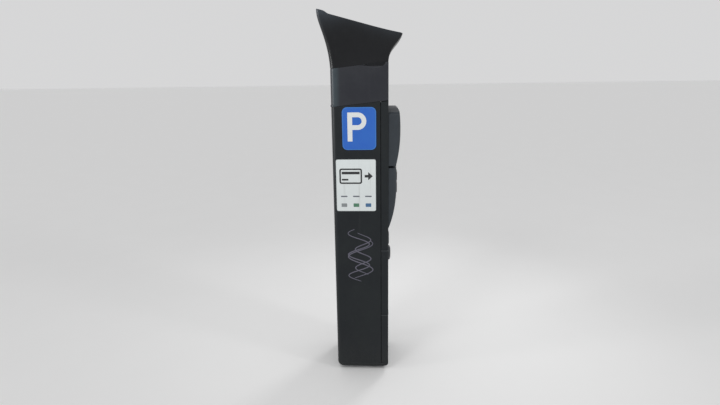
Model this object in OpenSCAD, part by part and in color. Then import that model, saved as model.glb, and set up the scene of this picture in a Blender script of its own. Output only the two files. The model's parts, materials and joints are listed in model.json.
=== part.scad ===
// Pay-and-display ticket vending machine: a solar powered street column with three doors.
// Millimetres. +Z is up, the doors face -Y, and the origin is the centre of the base plate on the ground.

/* [Column] */
// Width of the column, side to side
body_w = 280; // [260:1:340]
// Depth of the column, from its back to the door fronts
body_d = 256; // [235:1:300]
// Height of the base door
base_door_h = 268.5; // [240:0.5:330]
// Height of the vault door
vault_door_h = 333; // [300:0.5:400]
// Height of the upper door, at mid depth
upper_door_h = 680; // [675:1:840]
// Sheet thickness of the housing and the doors
wall = 3; // [2:0.5:4]
// Radius of the two upright edges at the back
rear_r = 24; // [12:1:32]
// Radius of the two upright edges of the doors
front_r = 7; // [5:1:12]
// How far the doors wrap round the sides
door_depth = 33.5; // [30:0.5:45]
// Gap between doors, and between a door and the housing
seam_gap = 3; // [2:0.5:4]
// Rise of the upper seams towards the front, in degrees
seam_tilt = 6.16; // [0:0.01:10]

/* [Foot] */
// Height of the rounded plinth over the ground
plinth_h = 36; // [30:1:50]
// Thickness of the base plate
base_t = 8; // [6:1:14]
// Anchor bolt spacing, side to side
anchor_x = 190; // [150:1:200]
// Anchor bolt spacing, front to back
anchor_y = 150; // [120:1:160]
// Radius of an anchor bolt hole
anchor_r = 7; // [5:0.5:9]
// How far the plinth draws in towards the ground
plinth_reach = 25; // [8:1:26]

/* [Head] */
// Height of the collar between the column and the solar cowl
neck_h = 165; // [120:1:220]
// Height of the cowl's back edge over the collar
cowl_rear_h = 233.5; // [160:0.5:260]
// Height of the cowl's front edge over the collar
cowl_front_h = 105.5; // [80:0.5:140]
// How far the cowl flares past the column at the back
flare_rear = 47; // [30:1:70]
// How far the cowl flares past the column at the front
flare_front = 58; // [30:1:70]
// How far the cowl flares past each side of the column
flare_side = 38; // [20:1:60]
// Wall of the collar and the cowl
cast_wall = 4; // [3:0.5:6]

/* [Interface] */
// Bulge of the display fascia in front of the door
display_bulge = 54; // [40:1:70]
// Height of the display fascia
display_h = 264; // [250:1:290]
// Bulge of the payment fascia in front of the door
payment_bulge = 37; // [34:1:45]
// Height of the payment fascia
payment_h = 287; // [280:1:310]
// Wall of the moulded fascias
fascia_wall = 4; // [3:0.5:5]
// Width of the display window
window_w = 168; // [140:1:190]
// Height of the display window
window_h = 108; // [90:1:115]
// Travel of a push button
button_travel = 3; // [2:0.5:4]

/* [Works] */
// Radius of a full paper roll
roll_r = 52; // [30:1:55]
// Width of the ticket paper
paper_w = 58; // [50:1:60]
// Radius of the platen roller
platen_r = 9; // [7:0.5:10]
// Radius of a lock barrel
lock_r = 11; // [9:0.5:13]
// Radius of a hinge pin
pin_r = 2.5; // [2:0.25:3]
// Running clearance between a pin and its hole, on the radius
run_fit = 0.05; // [0.02:0.01:0.1]

/* [Hidden] */
$fn = 48;

BIG = 1000;
touch_gap = 0.3;
half_w = body_w / 2;
in_x = half_w - wall;
front_y = -body_d / 2;
rear_y = body_d / 2;
door_y = front_y + door_depth;
house_y = door_y + seam_gap;
lip_w = 14;
lip_x = in_x - lip_w;

// Heights of the seams, all at mid depth where they slope
base_door_z = plinth_h + 2;
low_seam_z = base_door_z + base_door_h + seam_gap / 2;
vault_door_z = low_seam_z + seam_gap / 2;
mid_seam_z = vault_door_z + vault_door_h + seam_gap / 2;
upper_door_z = mid_seam_z + seam_gap / 2;
door_top_z = upper_door_z + upper_door_h;
column_z = door_top_z + 3;
collar_plate_t = 1.5;
neck_top_z = column_z + neck_h;

// Cowl rim, at its back and front
rim_rear_y = rear_y + flare_rear;
rim_front_y = front_y - flare_front;
rim_x = half_w + flare_side;
rim_rear_z = neck_top_z - rear_y * tan(seam_tilt) + cowl_rear_h;
rim_front_z = neck_top_z - front_y * tan(seam_tilt) + cowl_front_h;
rim_slope = (rim_rear_z - rim_front_z) / (rim_rear_y - rim_front_y);
rim_front_r = 12;
rim_rear_r = 14;
rim_wall = 6;
rim_crown = 1.5;
ledge_w = 9;
ledge_t = 3;
ledge_drop = 6;
corner_curl = 5;
heel_rise = 7;
heel_near = 30;
heel_far = 52;

// Fascias on the upper door
fascia_x = half_w - 9;
edge_r = 16;
display_top_z = column_z - 18;
display_z = display_top_z - display_h;
display_mid_z = display_top_z - 99;
payment_top_z = display_z - 8;
payment_z = payment_top_z - payment_h;
window_z = display_mid_z;
button_z = display_z + 60;
button_pitch = 42;
button_w = 32;
button_h = 24;
plate_t = 4;
plate_h = 42;
flange_t = 2.3;
pocket_t = touch_gap + flange_t + button_travel + 2.4;
stem_r = 4;
key_gap = 0.4;
fit_gap = 0.2;
pane_t = 3;
plate_face_y = front_y - 41.5;
window_face_y = front_y - 46;
slot_x = half_w - 65;
slot_z = payment_top_z - 42;
return_z = payment_top_z - 97;
card_x = -slot_x;
card_z = payment_top_z - 42;
tap_z = payment_top_z - 95;
tap_h = 50;
card_w = 72;
card_h = 40;
slot_plate_w = 56;
slot_plate_h = 54;
slot_face_y = front_y - payment_bulge;
cup_half_w = 56;
cup_z = payment_z + 66;
cup_h = 92;
cup_front_y = front_y - 16;
cup_back_y = door_y - 3;
cup_wall = 2.5;
ticket_z = cup_z + cup_h - 12;
flap_pivot_y = front_y - 20;
flap_pivot_z = cup_z + cup_h - 10;
flap_len = 62;
flap_t = 3;
flap_pin_r = 2;

// Locks, near the doors' free edges
lock_x = -62;
vault_boss_r = 36;
vault_boss_out = 10.5;
upper_boss_r = 32;
upper_boss_out = 3.5;
upper_lock_z = mid_seam_z + upper_boss_r + 6;
vault_lock_z = mid_seam_z - vault_boss_r - 3;
base_lock_z = low_seam_z - 29;
cam_over = 4;
bar_half_h = 10.5;
bar_web = 33;
cam_t = 4;
cam_y = house_y + wall + 2.5;

// Hinges on the right-hand side
hinge_r = 5;
hinge_x = half_w + hinge_r;
hinge_y = (door_y + house_y) / 2;
knuckle_h = 30;
leaf_t = 3;
leaf_l = 27;
base_hinges = [base_door_z + 50, base_door_z + base_door_h - 55];
vault_hinges = [vault_door_z + 55, vault_door_z + vault_door_h - 55];
upper_hinges = [upper_door_z + 70, door_top_z - 80];

// Signs on the left-hand side, from the middle of the depth
sign_y = 3;
sign_w = 152;
sign_h = 190;
sign_r = 22;
sticker_y = 20.5;

// Works inside
vault_wall = 5;
vault_x = half_w - 22;
vault_y0 = house_y + 20;
vault_y1 = rear_y - 10;
vault_z0 = low_seam_z + 6;
vault_z1 = mid_seam_z - 27;
box_x = vault_x - vault_wall - 18;
box_y0 = vault_y0 + 16;
box_y1 = vault_y1 - vault_wall - 12;
box_z0 = vault_z0 + vault_wall;
box_h = 200;
lid_t = 8;
inlet = 40;
inlet_x = half_w - 88;
inlet_y = house_y + 66;
shelf_z = base_door_z + 86;
shelf_t = 3;
platen_z = ticket_z - platen_r;
printer_z = platen_z - 42;
printer_y0 = house_y + 14;
roll_y = printer_y0 + 88;
roll_z = printer_z + 180;
spindle_r = 12;
platen_y = printer_y0 + 36;
cheek_x = paper_w / 2 + 9;
cheek_t = 3;
axle_r = 4;

// ---------- shapes that several pieces share ----------

function arc(cx, cy, r, a0, a1, n = 6) =
    [for (i = [0:n]) let (a = a0 + (a1 - a0) * i / n) [cx + r * cos(a), cy + r * sin(a)]];

// A rectangle in plan with its own corner radius at the front and at the back
function outline(hx, y0, y1, rf, rr) = concat(
    arc(hx - rf, y0 + rf, rf, -90, 0), arc(hx - rr, y1 - rr, rr, 0, 90),
    arc(-hx + rr, y1 - rr, rr, 90, 180), arc(-hx + rf, y0 + rf, rf, 180, 270));

// The column's outline, moved inwards by inset
function column(inset) =
    outline(half_w - inset, front_y + inset, rear_y - inset,
            max(front_r - inset, 1), max(rear_r - inset, 1));

module upright(points, z0, z1) {
    translate([0, 0, z0]) linear_extrude(z1 - z0) polygon(points);
}

// Keeps what lies between two levels that slope like the upper seams
module seam_slab(z0, z1) {
    intersection() {
        children();
        translate([0, 0, z0]) rotate([-seam_tilt, 0, 0])
            translate([-BIG, -BIG, 0]) cube([2 * BIG, 2 * BIG, (z1 - z0) * cos(seam_tilt)]);
    }
}

// Keeps what lies between two levels that slope like the cowl's rim, measured from the rim plane
module rim_slab(low, high) {
    tilt = atan(rim_slope);
    intersection() {
        children();
        translate([0, rim_front_y, rim_front_z + low]) rotate([tilt, 0, 0])
            translate([-BIG, -BIG, 0]) cube([2 * BIG, 2 * BIG, (high - low) * cos(tilt)]);
    }
}

// Extrudes a (y, z) side profile across the width
module across(profile, hx) {
    translate([-hx, 0, 0]) rotate([90, 0, 90]) linear_extrude(2 * hx) polygon(profile);
}

// Extrudes an (x, z) front view from y0 back to y1
module facing(y0, y1) {
    translate([0, y1, 0]) rotate([90, 0, 0]) linear_extrude(y1 - y0) children();
}

module block(x0, x1, y0, y1, z0, z1) {
    translate([x0, y0, z0]) cube([x1 - x0, y1 - y0, z1 - z0]);
}

// A block centred on x, half_x to each side
module span(x, half_x, y0, y1, z0, z1) {
    block(x - half_x, x + half_x, y0, y1, z0, z1);
}

// A round bar along Y, from y0 back to y1
module bar_y(x, z, r, y0, y1) {
    translate([x, y1, z]) rotate([90, 0, 0]) cylinder(h = y1 - y0, r = r);
}

// A round bar along X
module bar_x(y, z, r, x0, x1) {
    translate([x0, y, z]) rotate([0, 90, 0]) cylinder(h = x1 - x0, r = r);
}

module rounded(w, h, r) {
    polygon(concat(arc(w / 2 - r, h / 2 - r, r, 0, 90), arc(r - w / 2, h / 2 - r, r, 90, 180),
                   arc(r - w / 2, r - h / 2, r, 180, 270), arc(w / 2 - r, r - h / 2, r, 270, 360)));
}

// A solid whose rings of points close on themselves, such as a shell's outside and then its inside
module ring_solid(rings) {
    n = len(rings[0]);
    k = len(rings);
    points = [for (ring = rings) each ring];
    faces = [for (i = [0:k - 1], j = [0:n - 1])
        let (a = i * n + j, b = i * n + (j + 1) % n, c = ((i + 1) % k) * n + (j + 1) % n,
             d = ((i + 1) % k) * n + j)
        each [[a, c, b], [a, d, c]]];
    polyhedron(points, faces);
}

// ---------- foot ----------

// The foot's outline, moved inwards, with corners that grow rounder at the front
function foot_plan(inset) = outline(half_w - inset, front_y + inset, rear_y - inset,
                                    front_r + inset, rear_r - inset * 0.2);

module base_plate() {
    color("dimgray") difference() {
        upright(foot_plan(plinth_reach + 2), 0, base_t);
        for (x = [-1, 1], y = [-1, 1])
            translate([x * anchor_x / 2, y * anchor_y / 2, -1]) cylinder(h = base_t + 2, r = anchor_r);
        translate([0, 0, -1]) linear_extrude(base_t + 2) rounded(110, 80, 10);
    }
}

// A ring whose outside curves in towards the ground, on a quarter of an ellipse
module plinth() {
    steps = 7;
    function level(inset, z) = [for (p = foot_plan(inset)) [p[0], p[1], z]];
    outer = [for (i = [0:steps]) let (a = 90 * i / steps)
        level(plinth_reach * (1 - sin(a)), base_t + (plinth_h - base_t) * (1 - cos(a)))];
    inner = plinth_reach + 6;
    color("#202226") ring_solid(concat(outer, [level(inner, plinth_h), level(inner, base_t)]));
}

// ---------- column ----------

module housing_plan() {
    inner_r = rear_r - wall;
    difference() {
        polygon(concat([[-half_w, house_y], [half_w, house_y]],
            arc(half_w - rear_r, rear_y - rear_r, rear_r, 0, 90),
            arc(-half_w + rear_r, rear_y - rear_r, rear_r, 90, 180)));
        polygon(concat([[-lip_x, house_y - 1], [lip_x, house_y - 1], [lip_x, house_y + wall],
                [in_x, house_y + wall]],
            arc(in_x - inner_r, rear_y - wall - inner_r, inner_r, 0, 90),
            arc(-in_x + inner_r, rear_y - wall - inner_r, inner_r, 90, 180),
            [[-in_x, house_y + wall], [-lip_x, house_y + wall]]));
    }
}

module main_housing() {
    louvres = 6;
    color("#202226") seam_slab(-BIG, column_z - collar_plate_t) difference() {
        translate([0, 0, plinth_h]) linear_extrude(column_z + 50 - plinth_h) housing_plan();
        for (i = [0:louvres - 1])
            block(-60, 60, rear_y - wall - 1, rear_y + 1, column_z - 150 + 14 * i, column_z - 145 + 14 * i);
    }
}

module head_plate() {
    color("#2c2e33") seam_slab(column_z - collar_plate_t, column_z) difference() {
        upright(column(1.5), column_z - 80, column_z + 80);
        block(-75, 75, house_y + 30, rear_y - 28, column_z - 90, column_z + 90);
    }
}

// A sill, two bars between the doors, and a header under the sloping head plate
module door_crossbars() {
    color("gray") block(-lip_x, lip_x, house_y, house_y + wall, plinth_h, plinth_h + 16);
    color("gray") seam_slab(-BIG, column_z - collar_plate_t)
        block(-lip_x, lip_x, house_y, house_y + wall, door_top_z - 22, column_z + 50);
    color("gray") for (z = [low_seam_z, mid_seam_z]) {
        block(-lip_x, lip_x, house_y, house_y + wall, z - bar_half_h, z + bar_half_h);
        block(-lip_x, lip_x, house_y, house_y + bar_web, z - wall / 2, z + wall / 2);
        for (s = [-1, 1])
            span(s * (lip_x + in_x) / 2, lip_w / 2, house_y + wall, house_y + bar_web,
                 z - wall / 2, z + wall / 2);
    }
}

// One rectangular seal for each door, on the housing's lips
module door_seals() {
    seal_w = 8;
    seal_x = in_x - 2;
    color("black") for (span = [[base_door_z + 2, low_seam_z - 2], [vault_door_z + 0.5, mid_seam_z - 2],
                                [upper_door_z + 0.5, door_top_z - 6]])
        facing(house_y - seam_gap + touch_gap, house_y) difference() {
            translate([-seal_x, span[0]]) square([2 * seal_x, span[1] - span[0]]);
            translate([-seal_x + seal_w, span[0] + seal_w])
                square([2 * (seal_x - seal_w), span[1] - span[0] - 2 * seal_w]);
        }
}

// ---------- hinges ----------

module knuckle(z0, side) {
    difference() {
        union() {
            translate([hinge_x, hinge_y, z0]) cylinder(h = knuckle_h - touch_gap, r = hinge_r);
            block(half_w, half_w + leaf_t, min(hinge_y, hinge_y + side * leaf_l),
                  max(hinge_y, hinge_y + side * leaf_l), z0, z0 + knuckle_h - touch_gap);
        }
        translate([hinge_x, hinge_y, z0 - 1])
            cylinder(h = knuckle_h + 2, r = side > 0 ? pin_r : pin_r + run_fit);
    }
}

module hinge_knuckles() {
    color("#202226") for (z = concat(base_hinges, vault_hinges, upper_hinges)) knuckle(z - knuckle_h, 1);
}

module door_knuckles(hinges) {
    for (z = hinges) knuckle(z, -1);
}

module hinge_pins() {
    color("silver") for (z = concat(base_hinges, vault_hinges, upper_hinges))
        translate([hinge_x, hinge_y, z - knuckle_h]) cylinder(h = 2 * knuckle_h - 2, r = pin_r);
}

// ---------- doors ----------

// A tray: a front of its own thickness, two sides with inward lips, and closed ends
module door_tray(z0, z1, front_t) {
    side = arc(half_w - front_r, front_y + front_r, front_r, -90, 0);
    back = [for (i = [len(side) - 1:-1:0]) [-side[i][0], side[i][1]]];
    difference() {
        upright(concat(side, [[half_w, door_y], [-half_w, door_y]], back), z0, z1);
        block(-in_x, in_x, front_y + front_t, door_y - wall, z0 + wall, z1 - wall);
        block(-in_x + 12, in_x - 12, door_y - wall - 1, door_y + 1, z0 + wall, z1 - wall);
    }
}

module lock_hole(z, gap = 1) {
    bar_y(lock_x, z, lock_r + gap, front_y - 1, front_y + 20);
}

module upper_door() {
    rise = body_d * tan(seam_tilt);
    color("#202226") difference() {
        union() {
            seam_slab(-BIG, door_top_z) door_tray(upper_door_z, door_top_z + rise + wall, wall);
            seam_slab(door_top_z - wall, door_top_z)
                block(-in_x, in_x, front_y + 1, door_y, door_top_z - rise, door_top_z + rise);
            door_knuckles(upper_hinges);
        }
        block(-fascia_x + 14, fascia_x - 14, front_y - 1, front_y + wall + 1,
              display_z + 14, display_top_z - 44);
        block(-fascia_x + 14, fascia_x - 14, front_y - 1, front_y + wall + 1,
              payment_z + 32, payment_top_z - 12);
        lock_hole(upper_lock_z);
    }
}

module vault_door() {
    color("#202226") difference() {
        union() {
            door_tray(vault_door_z, vault_door_z + vault_door_h, 8);
            door_knuckles(vault_hinges);
        }
        lock_hole(vault_lock_z);
    }
}

module base_door() {
    color("#202226") difference() {
        union() {
            door_tray(base_door_z, base_door_z + base_door_h, wall);
            door_knuckles(base_hinges);
        }
        lock_hole(base_lock_z, run_fit);
    }
}

// ---------- locks ----------

// A round boss that domes from its edge up to a flat ring about the barrel
module lock_boss(z, r, out) {
    top_r = lock_r + 4;
    edge = 1.5;
    color("#3a3d43") difference() {
        translate([lock_x, front_y, z]) rotate([90, 0, 0]) rotate_extrude()
            polygon(concat([[0, 0], [r, 0]],
                [for (i = [0:8]) let (a = 90 * i / 8)
                    [top_r + (r - top_r) * cos(a), edge + (out - edge) * sin(a)]],
                [[0, out]]));
        bar_y(lock_x, z, lock_r + run_fit, front_y - 50, front_y + 1);
    }
}

module upper_lock_boss() { lock_boss(upper_lock_z, upper_boss_r, upper_boss_out); }
module vault_lock_boss() { lock_boss(vault_lock_z, vault_boss_r, vault_boss_out); }

// A barrel with a keyway in its face, and the cam behind it, lying unlocked to the right
module cam_lock(z, face_y, bar_z) {
    color("silver") translate([lock_x, 0, 0]) difference() {
        union() {
            bar_y(0, z, lock_r, face_y, cam_y);
            block(3 - lock_r, abs(z - bar_z) - cam_over, cam_y - 0.5, cam_y + cam_t, z - 8, z + 8);
        }
        block(-1.2, 1.2, face_y - 1, face_y + 8, z - 4.5, z + 3);
        bar_y(0, z + 3, 3, face_y - 1, face_y + 8);
    }
}

module upper_lock() { cam_lock(upper_lock_z, front_y - upper_boss_out + 1.5, mid_seam_z); }
module vault_lock() { cam_lock(vault_lock_z, front_y - vault_boss_out + 1.5, mid_seam_z); }
module base_lock() { cam_lock(base_lock_z, front_y - 1.5, low_seam_z); }

// ---------- head ----------

module neck_casing() {
    lip = 2.5;
    scallop_r = 82;
    scallop_depth = 2;
    scallop_y = -66;
    scallop_z = neck_top_z + 66;
    color("#33363c") difference() {
        neck_shell(lip);
        for (s = [-1, 1])
            bar_x(scallop_y, scallop_z, scallop_r, s > 0 ? half_w - scallop_depth : -half_w - 1,
                  s > 0 ? half_w + 1 : -half_w + scallop_depth);
    }
}

module neck_shell(lip) {
    union() {
        seam_slab(column_z, neck_top_z - 1.5) difference() {
            upright(column(0), column_z - 60, neck_top_z + 60);
            upright(column(cast_wall), column_z - 61, neck_top_z + 61);
        }
        seam_slab(column_z + 2, neck_top_z) difference() {
            upright(column(2), column_z - 60, neck_top_z + 60);
            upright(column(8), column_z - 61, neck_top_z + 61);
        }
        seam_slab(column_z, column_z + 9) difference() {
            upright(outline(half_w, front_y + 40, rear_y + lip, 1, rear_r), column_z - 60, column_z + 60);
            upright(outline(half_w - cast_wall, front_y, rear_y - cast_wall, 1, rear_r - cast_wall),
                    column_z - 61, column_z + 61);
        }
    }
}

// A share that runs from 0 to 1 with s on a cubic Bezier curve, whose two middle points are a and b
function ease(s, a, b) = 3 * (1 - s) * (1 - s) * s * a + 3 * (1 - s) * s * s * b + s * s * s;

// A smooth step from 0 to 1 as x goes from a to b
function smooth(x, a, b) = let (t = min(max((x - a) / (b - a), 0), 1)) t * t * (3 - 2 * t);

// One level of the cowl, between the collar at s = 0 and the rim at s = 1. The back rises nearly upright
// to the rim, the front hollows out under a thin edge, and the sides lie between them. By its share of rise
// the two front corners curl up and the back edge stands up as a level heel.
function cowl_ring(s, inset, lift = 0, rise = 0) =
    let (hx = half_w + flare_side * ease(s, 0.12, 0.9) - inset,
         yf = front_y - flare_front * ease(s, 0.02, 0.72), yr = rear_y + flare_rear * ease(s, 0.14, 1.04),
         zf = neck_top_z - front_y * tan(seam_tilt) + cowl_front_h * ease(s, 0.5, 0.7),
         zr = neck_top_z - rear_y * tan(seam_tilt) + cowl_rear_h * ease(s, 0.55, 0.8),
         rf = front_r + (rim_front_r - front_r) * s, rr = rear_r + (rim_rear_r - rear_r) * s,
         half = (yr - yf) / 2 - inset)
    [for (p = cowl_outline(hx, yf + inset, yr - inset, max(rf - inset, 2), max(rr - inset, 2)))
        let (u = abs(p[0]) / hx, v = max((yf + yr) / 2 - p[1], 0) / half)
        [p[0], p[1], zf + (zr - zf) * (p[1] - yf) / (yr - yf) + lift
            + rise * (corner_curl * pow(u * v, 3)
                + heel_rise * smooth(p[1], yr - heel_far, yr - heel_near))]];

// The column's kind of outline, with points along each side where the heel rises
function cowl_outline(hx, y0, y1, rf, rr) =
    let (heel = [for (i = [0:4]) y1 - heel_far + (heel_far - heel_near) * i / 4])
    concat(arc(hx - rf, y0 + rf, rf, -90, 0), [for (y = heel) [hx, y]], arc(hx - rr, y1 - rr, rr, 0, 90),
        arc(-hx + rr, y1 - rr, rr, 90, 180), [for (i = [4:-1:0]) [-hx, heel[i]]],
        arc(-hx + rf, y0 + rf, rf, 180, 270));

module solar_cowl() {
    steps = 10;
    in = rim_wall + ledge_w;
    outer = [for (i = [0:steps]) cowl_ring(i / steps, 0, 0, pow(i / steps, 8))];
    rim = [cowl_ring(1, 1.5, rim_crown, 1), cowl_ring(1, rim_wall - 1.5, rim_crown, 1),
           cowl_ring(1, rim_wall, 0, 1), cowl_ring(1, rim_wall, -ledge_drop),
           cowl_ring(1, in, -ledge_drop), cowl_ring(1, in, -ledge_drop - ledge_t)];
    inner = [for (i = [steps - 2:-1:1]) cowl_ring(i / steps, cast_wall)];
    color("#1b1d21") ring_solid(concat(outer, rim, inner, [cowl_ring(0, cast_wall)]));
}

function panel_outline(inset) =
    let (gap = rim_wall + inset)
    outline(rim_x - gap, rim_front_y + gap, rim_rear_y - gap, max(rim_front_r - gap, 2),
            max(rim_rear_r - gap, 2));

module solar_frame() {
    low = -ledge_drop;
    color("#15171a") rim_slab(low + touch_gap, low + 5) difference() {
        upright(panel_outline(0.6), rim_front_z - 50, rim_rear_z + 50);
        upright(panel_outline(11), rim_front_z - 51, rim_rear_z + 51);
    }
}

module solar_laminate() {
    low = -ledge_drop;
    color("midnightblue") rim_slab(low, low + 4)
        upright(panel_outline(11.2), rim_front_z - 50, rim_rear_z + 50);
}

module antenna() {
    color("black") translate([70, 0, column_z]) rotate([-seam_tilt, 0, 0])
        translate([24, 70, 0]) {
            cylinder(h = 14, r = 22);
            translate([0, 0, 14]) cylinder(h = 8, r1 = 22, r2 = 14);
        }
}

// A lead from the junction box under the laminate down to the control unit, on one smooth S
module solar_cable() {
    steps = 24;
    sides = 10;
    r = 3;
    x = -40;
    top = [-10, rim_front_z + rim_slope * (-10 - rim_front_y) - 26];
    end = [rear_y - 34, column_z - 25.9];
    function along(t) = let (b = 1 - t, k = (top[1] - end[1]) * 0.55)
        b * b * b * top + 3 * b * b * t * (top - [0, k]) + 3 * b * t * t * (end + [0, k]) + t * t * t * end;
    function heading(t) = let (d = along(min(t + 0.01, 1)) - along(max(t - 0.01, 0))) d / norm(d);
    rings = [for (i = [0:steps]) let (p = along(i / steps), h = heading(i / steps))
        [for (j = [0:sides - 1]) let (a = 360 * j / sides)
            [x + r * cos(a), p[0] - h[1] * r * sin(a), p[1] + h[0] * r * sin(a)]]];
    tube = [for (i = [0:steps - 1], j = [0:sides - 1])
        let (a = i * sides + j, b = i * sides + (j + 1) % sides)
        each [[a, b, b + sides], [a, b + sides, a + sides]]];
    ends = [[for (j = [sides - 1:-1:0]) j], [for (j = [0:sides - 1]) steps * sides + j]];
    color("black") {
        polyhedron([for (ring = rings) each ring], concat(tube, ends));
        rim_slab(-ledge_drop - 22, -ledge_drop)
            block(x - 30, x + 30, -40, 20, rim_front_z - 100, rim_rear_z + 50);
    }
}

// ---------- signs on the left-hand side ----------

module parking_sign() {
    color("royalblue") translate([-half_w, sign_y, column_z - 109]) rotate([90, 0, -90]) linear_extrude(1)
        rounded(sign_w, sign_h, sign_r);
}

module payment_sticker() {
    color("white") translate([-half_w, sticker_y, column_z - 369]) rotate([90, 0, -90]) linear_extrude(0.6)
        rounded(182, 243, 8);
}

// ---------- vault ----------

module vault_enclosure() {
    color("slategray") difference() {
        block(-vault_x, vault_x, vault_y0, vault_y1, vault_z0, vault_z1);
        block(-vault_x + vault_wall, vault_x - vault_wall, vault_y0 - 1, vault_y1 - vault_wall,
              vault_z0 + vault_wall, vault_z1 - vault_wall);
        block(inlet_x - inlet / 2, inlet_x + inlet / 2, inlet_y - inlet / 2, inlet_y + inlet / 2,
              vault_z1 - vault_wall - 1, vault_z1 + 1);
    }
    color("slategray") for (s = [-1, 1])
        span(s * (vault_x + in_x) / 2, (in_x - vault_x) / 2, vault_y0 + 20, vault_y1 - 20,
             vault_z1 - 60, vault_z1 - 54);
}

module coin_box() {
    t = 2;
    bail_z = box_z0 + box_h - 50;
    color("darkgray") {
        difference() {
            block(-box_x, box_x, box_y0, box_y1, box_z0, box_z0 + box_h);
            block(-box_x + t, box_x - t, box_y0 + t, box_y1 - t, box_z0 + t, box_z0 + box_h + 1);
        }
        for (x = [-45, 45]) bar_y(x, bail_z, 4, box_y0 - 11, box_y0);
        bar_x(box_y0 - 8, bail_z, 4, -49, 49);
    }
}

module coin_box_lid() {
    lid_z = box_z0 + box_h;
    color("dimgray") difference() {
        union() {
            block(-box_x - 2, box_x + 2, box_y0 - 2, box_y1 + 2, lid_z, lid_z + lid_t);
            for (y = [inlet_y - inlet / 2 - 9, inlet_y + inlet / 2 + 5])
                block(inlet_x - inlet * 1.6 - 12, inlet_x + inlet / 2 + 2, y, y + 4,
                      lid_z + lid_t, lid_z + lid_t + 5);
        }
        block(inlet_x - inlet / 2, inlet_x + inlet / 2, inlet_y - inlet / 2, inlet_y + inlet / 2,
              lid_z - 1, lid_z + lid_t + 1);
    }
}

// Slides over the inlet when the box is taken out
module coin_box_shutter() {
    z = box_z0 + box_h + lid_t;
    color("gold") block(inlet_x - inlet * 1.6 - 4, inlet_x - inlet / 2 - 2, inlet_y - inlet / 2 - 4,
                        inlet_y + inlet / 2 + 4, z + 0.1, z + 2.6);
}

module coin_funnel() {
    top_z = upper_door_z + 58;
    t = 2;
    module duct(grow, z0, z1) {
        translate([inlet_x, inlet_y, z0]) linear_extrude(z1 - z0)
            square([inlet - 4 + grow, inlet - 4 + grow], center = true);
    }
    module hopper(grow) {
        translate([inlet_x, inlet_y, vault_z1 + 14]) linear_extrude(top_z - vault_z1 - 14, scale = 1.9)
            square([inlet - 4 + grow, inlet - 4 + grow], center = true);
    }
    color("gainsboro") difference() {
        union() {
            duct(0, box_z0 + box_h + lid_t + 12, vault_z1 + 14);
            hopper(0);
            block(inlet_x - inlet / 2 - 10, inlet_x + inlet / 2 + 10, inlet_y - inlet / 2 - 10,
                  inlet_y + inlet / 2 + 10, vault_z1, vault_z1 + 3);
        }
        duct(-2 * t, box_z0 + box_h, vault_z1 + 14.01);
        translate([0, 0, 0.01]) hopper(-2 * t);
    }
}

// ---------- battery and electronics ----------

module battery_shelf() {
    color("gray") difference() {
        union() {
            block(-in_x, in_x, house_y + 35, rear_y - wall - 22, shelf_z, shelf_z + shelf_t);
            for (s = [-1, 1]) block(s > 0 ? in_x - 3 : -in_x, s > 0 ? in_x : -in_x + 3, house_y + 35,
                                    rear_y - wall - 22, shelf_z - 20, shelf_z);
            block(-88, -85, house_y + 50, rear_y - 36, shelf_z + shelf_t, shelf_z + shelf_t + 20);
            block(85, 88, house_y + 50, rear_y - 36, shelf_z + shelf_t, shelf_z + shelf_t + 20);
        }
        for (x = [-112, 112]) block(x - 8, x + 8, -20, 40, shelf_z - 1, shelf_z + shelf_t + 1);
    }
}

module battery() {
    z = shelf_z + shelf_t;
    color("#17181a") {
        block(-84, 84, house_y + 52, house_y + 150, z, z + 112);
        block(-84, 84, house_y + 60, house_y + 142, z + 112, z + 118);
    }
    color("red") translate([-60, house_y + 72, z + 118]) cylinder(h = 8, r = 6);
    color("navy") translate([60, house_y + 72, z + 118]) cylinder(h = 8, r = 6);
}

module control_unit() {
    color("silver") difference() {
        block(-85, 85, rear_y - wall - 42, rear_y - wall, column_z - 188, column_z - 26);
        for (i = [0:11]) block(-78 + 13.5 * i, -71 + 13.5 * i, rear_y - wall - 43, rear_y - wall - 36,
                               column_z - 180, column_z - 34);
    }
}

// ---------- printer ----------

module printer_frame() {
    color("lightsteelblue") difference() {
        union() {
            block(-in_x, in_x, printer_y0 + 8, rear_y - rear_r, printer_z, printer_z + 3);
            block(-cheek_x - cheek_t, -cheek_x, printer_y0, roll_y + 30, printer_z, roll_z + 20);
            block(cheek_x, cheek_x + cheek_t, printer_y0, printer_y0 + 70, printer_z, printer_z + 78);
            block(-cheek_x, cheek_x, house_y - 1, printer_y0 + 9, ticket_z - 4, ticket_z - 1.5);
        }
        bar_x(platen_y, platen_z, axle_r + run_fit, -cheek_x - 10, cheek_x + 10);
        bar_x(platen_y + 22, platen_z + 22, 2.5 + run_fit, -cheek_x - 10, cheek_x + 10);
        block(-cheek_x - 4, -cheek_x + 1, roll_y + 5, roll_y + 40, printer_z + 60, roll_z - 30);
    }
}

module platen_roller() {
    color("dimgray") bar_x(platen_y, platen_z, platen_r, -paper_w / 2 - 2, paper_w / 2 + 2);
    color("silver") bar_x(platen_y, platen_z, axle_r, -cheek_x - 6, cheek_x + 8);
}

module print_head() {
    color("green") block(-paper_w / 2 - 3, paper_w / 2 + 3, platen_y - 8, platen_y + 12,
                         platen_z + platen_r + 1, platen_z + platen_r + 8);
    color("silver") for (s = [-1, 1])
        span(s * (paper_w / 2 + 3 + cheek_x) / 2, (cheek_x - paper_w / 2 - 3) / 2, platen_y - 4, platen_y + 8,
             platen_z + platen_r + 1, platen_z + platen_r + 6);
}

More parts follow.
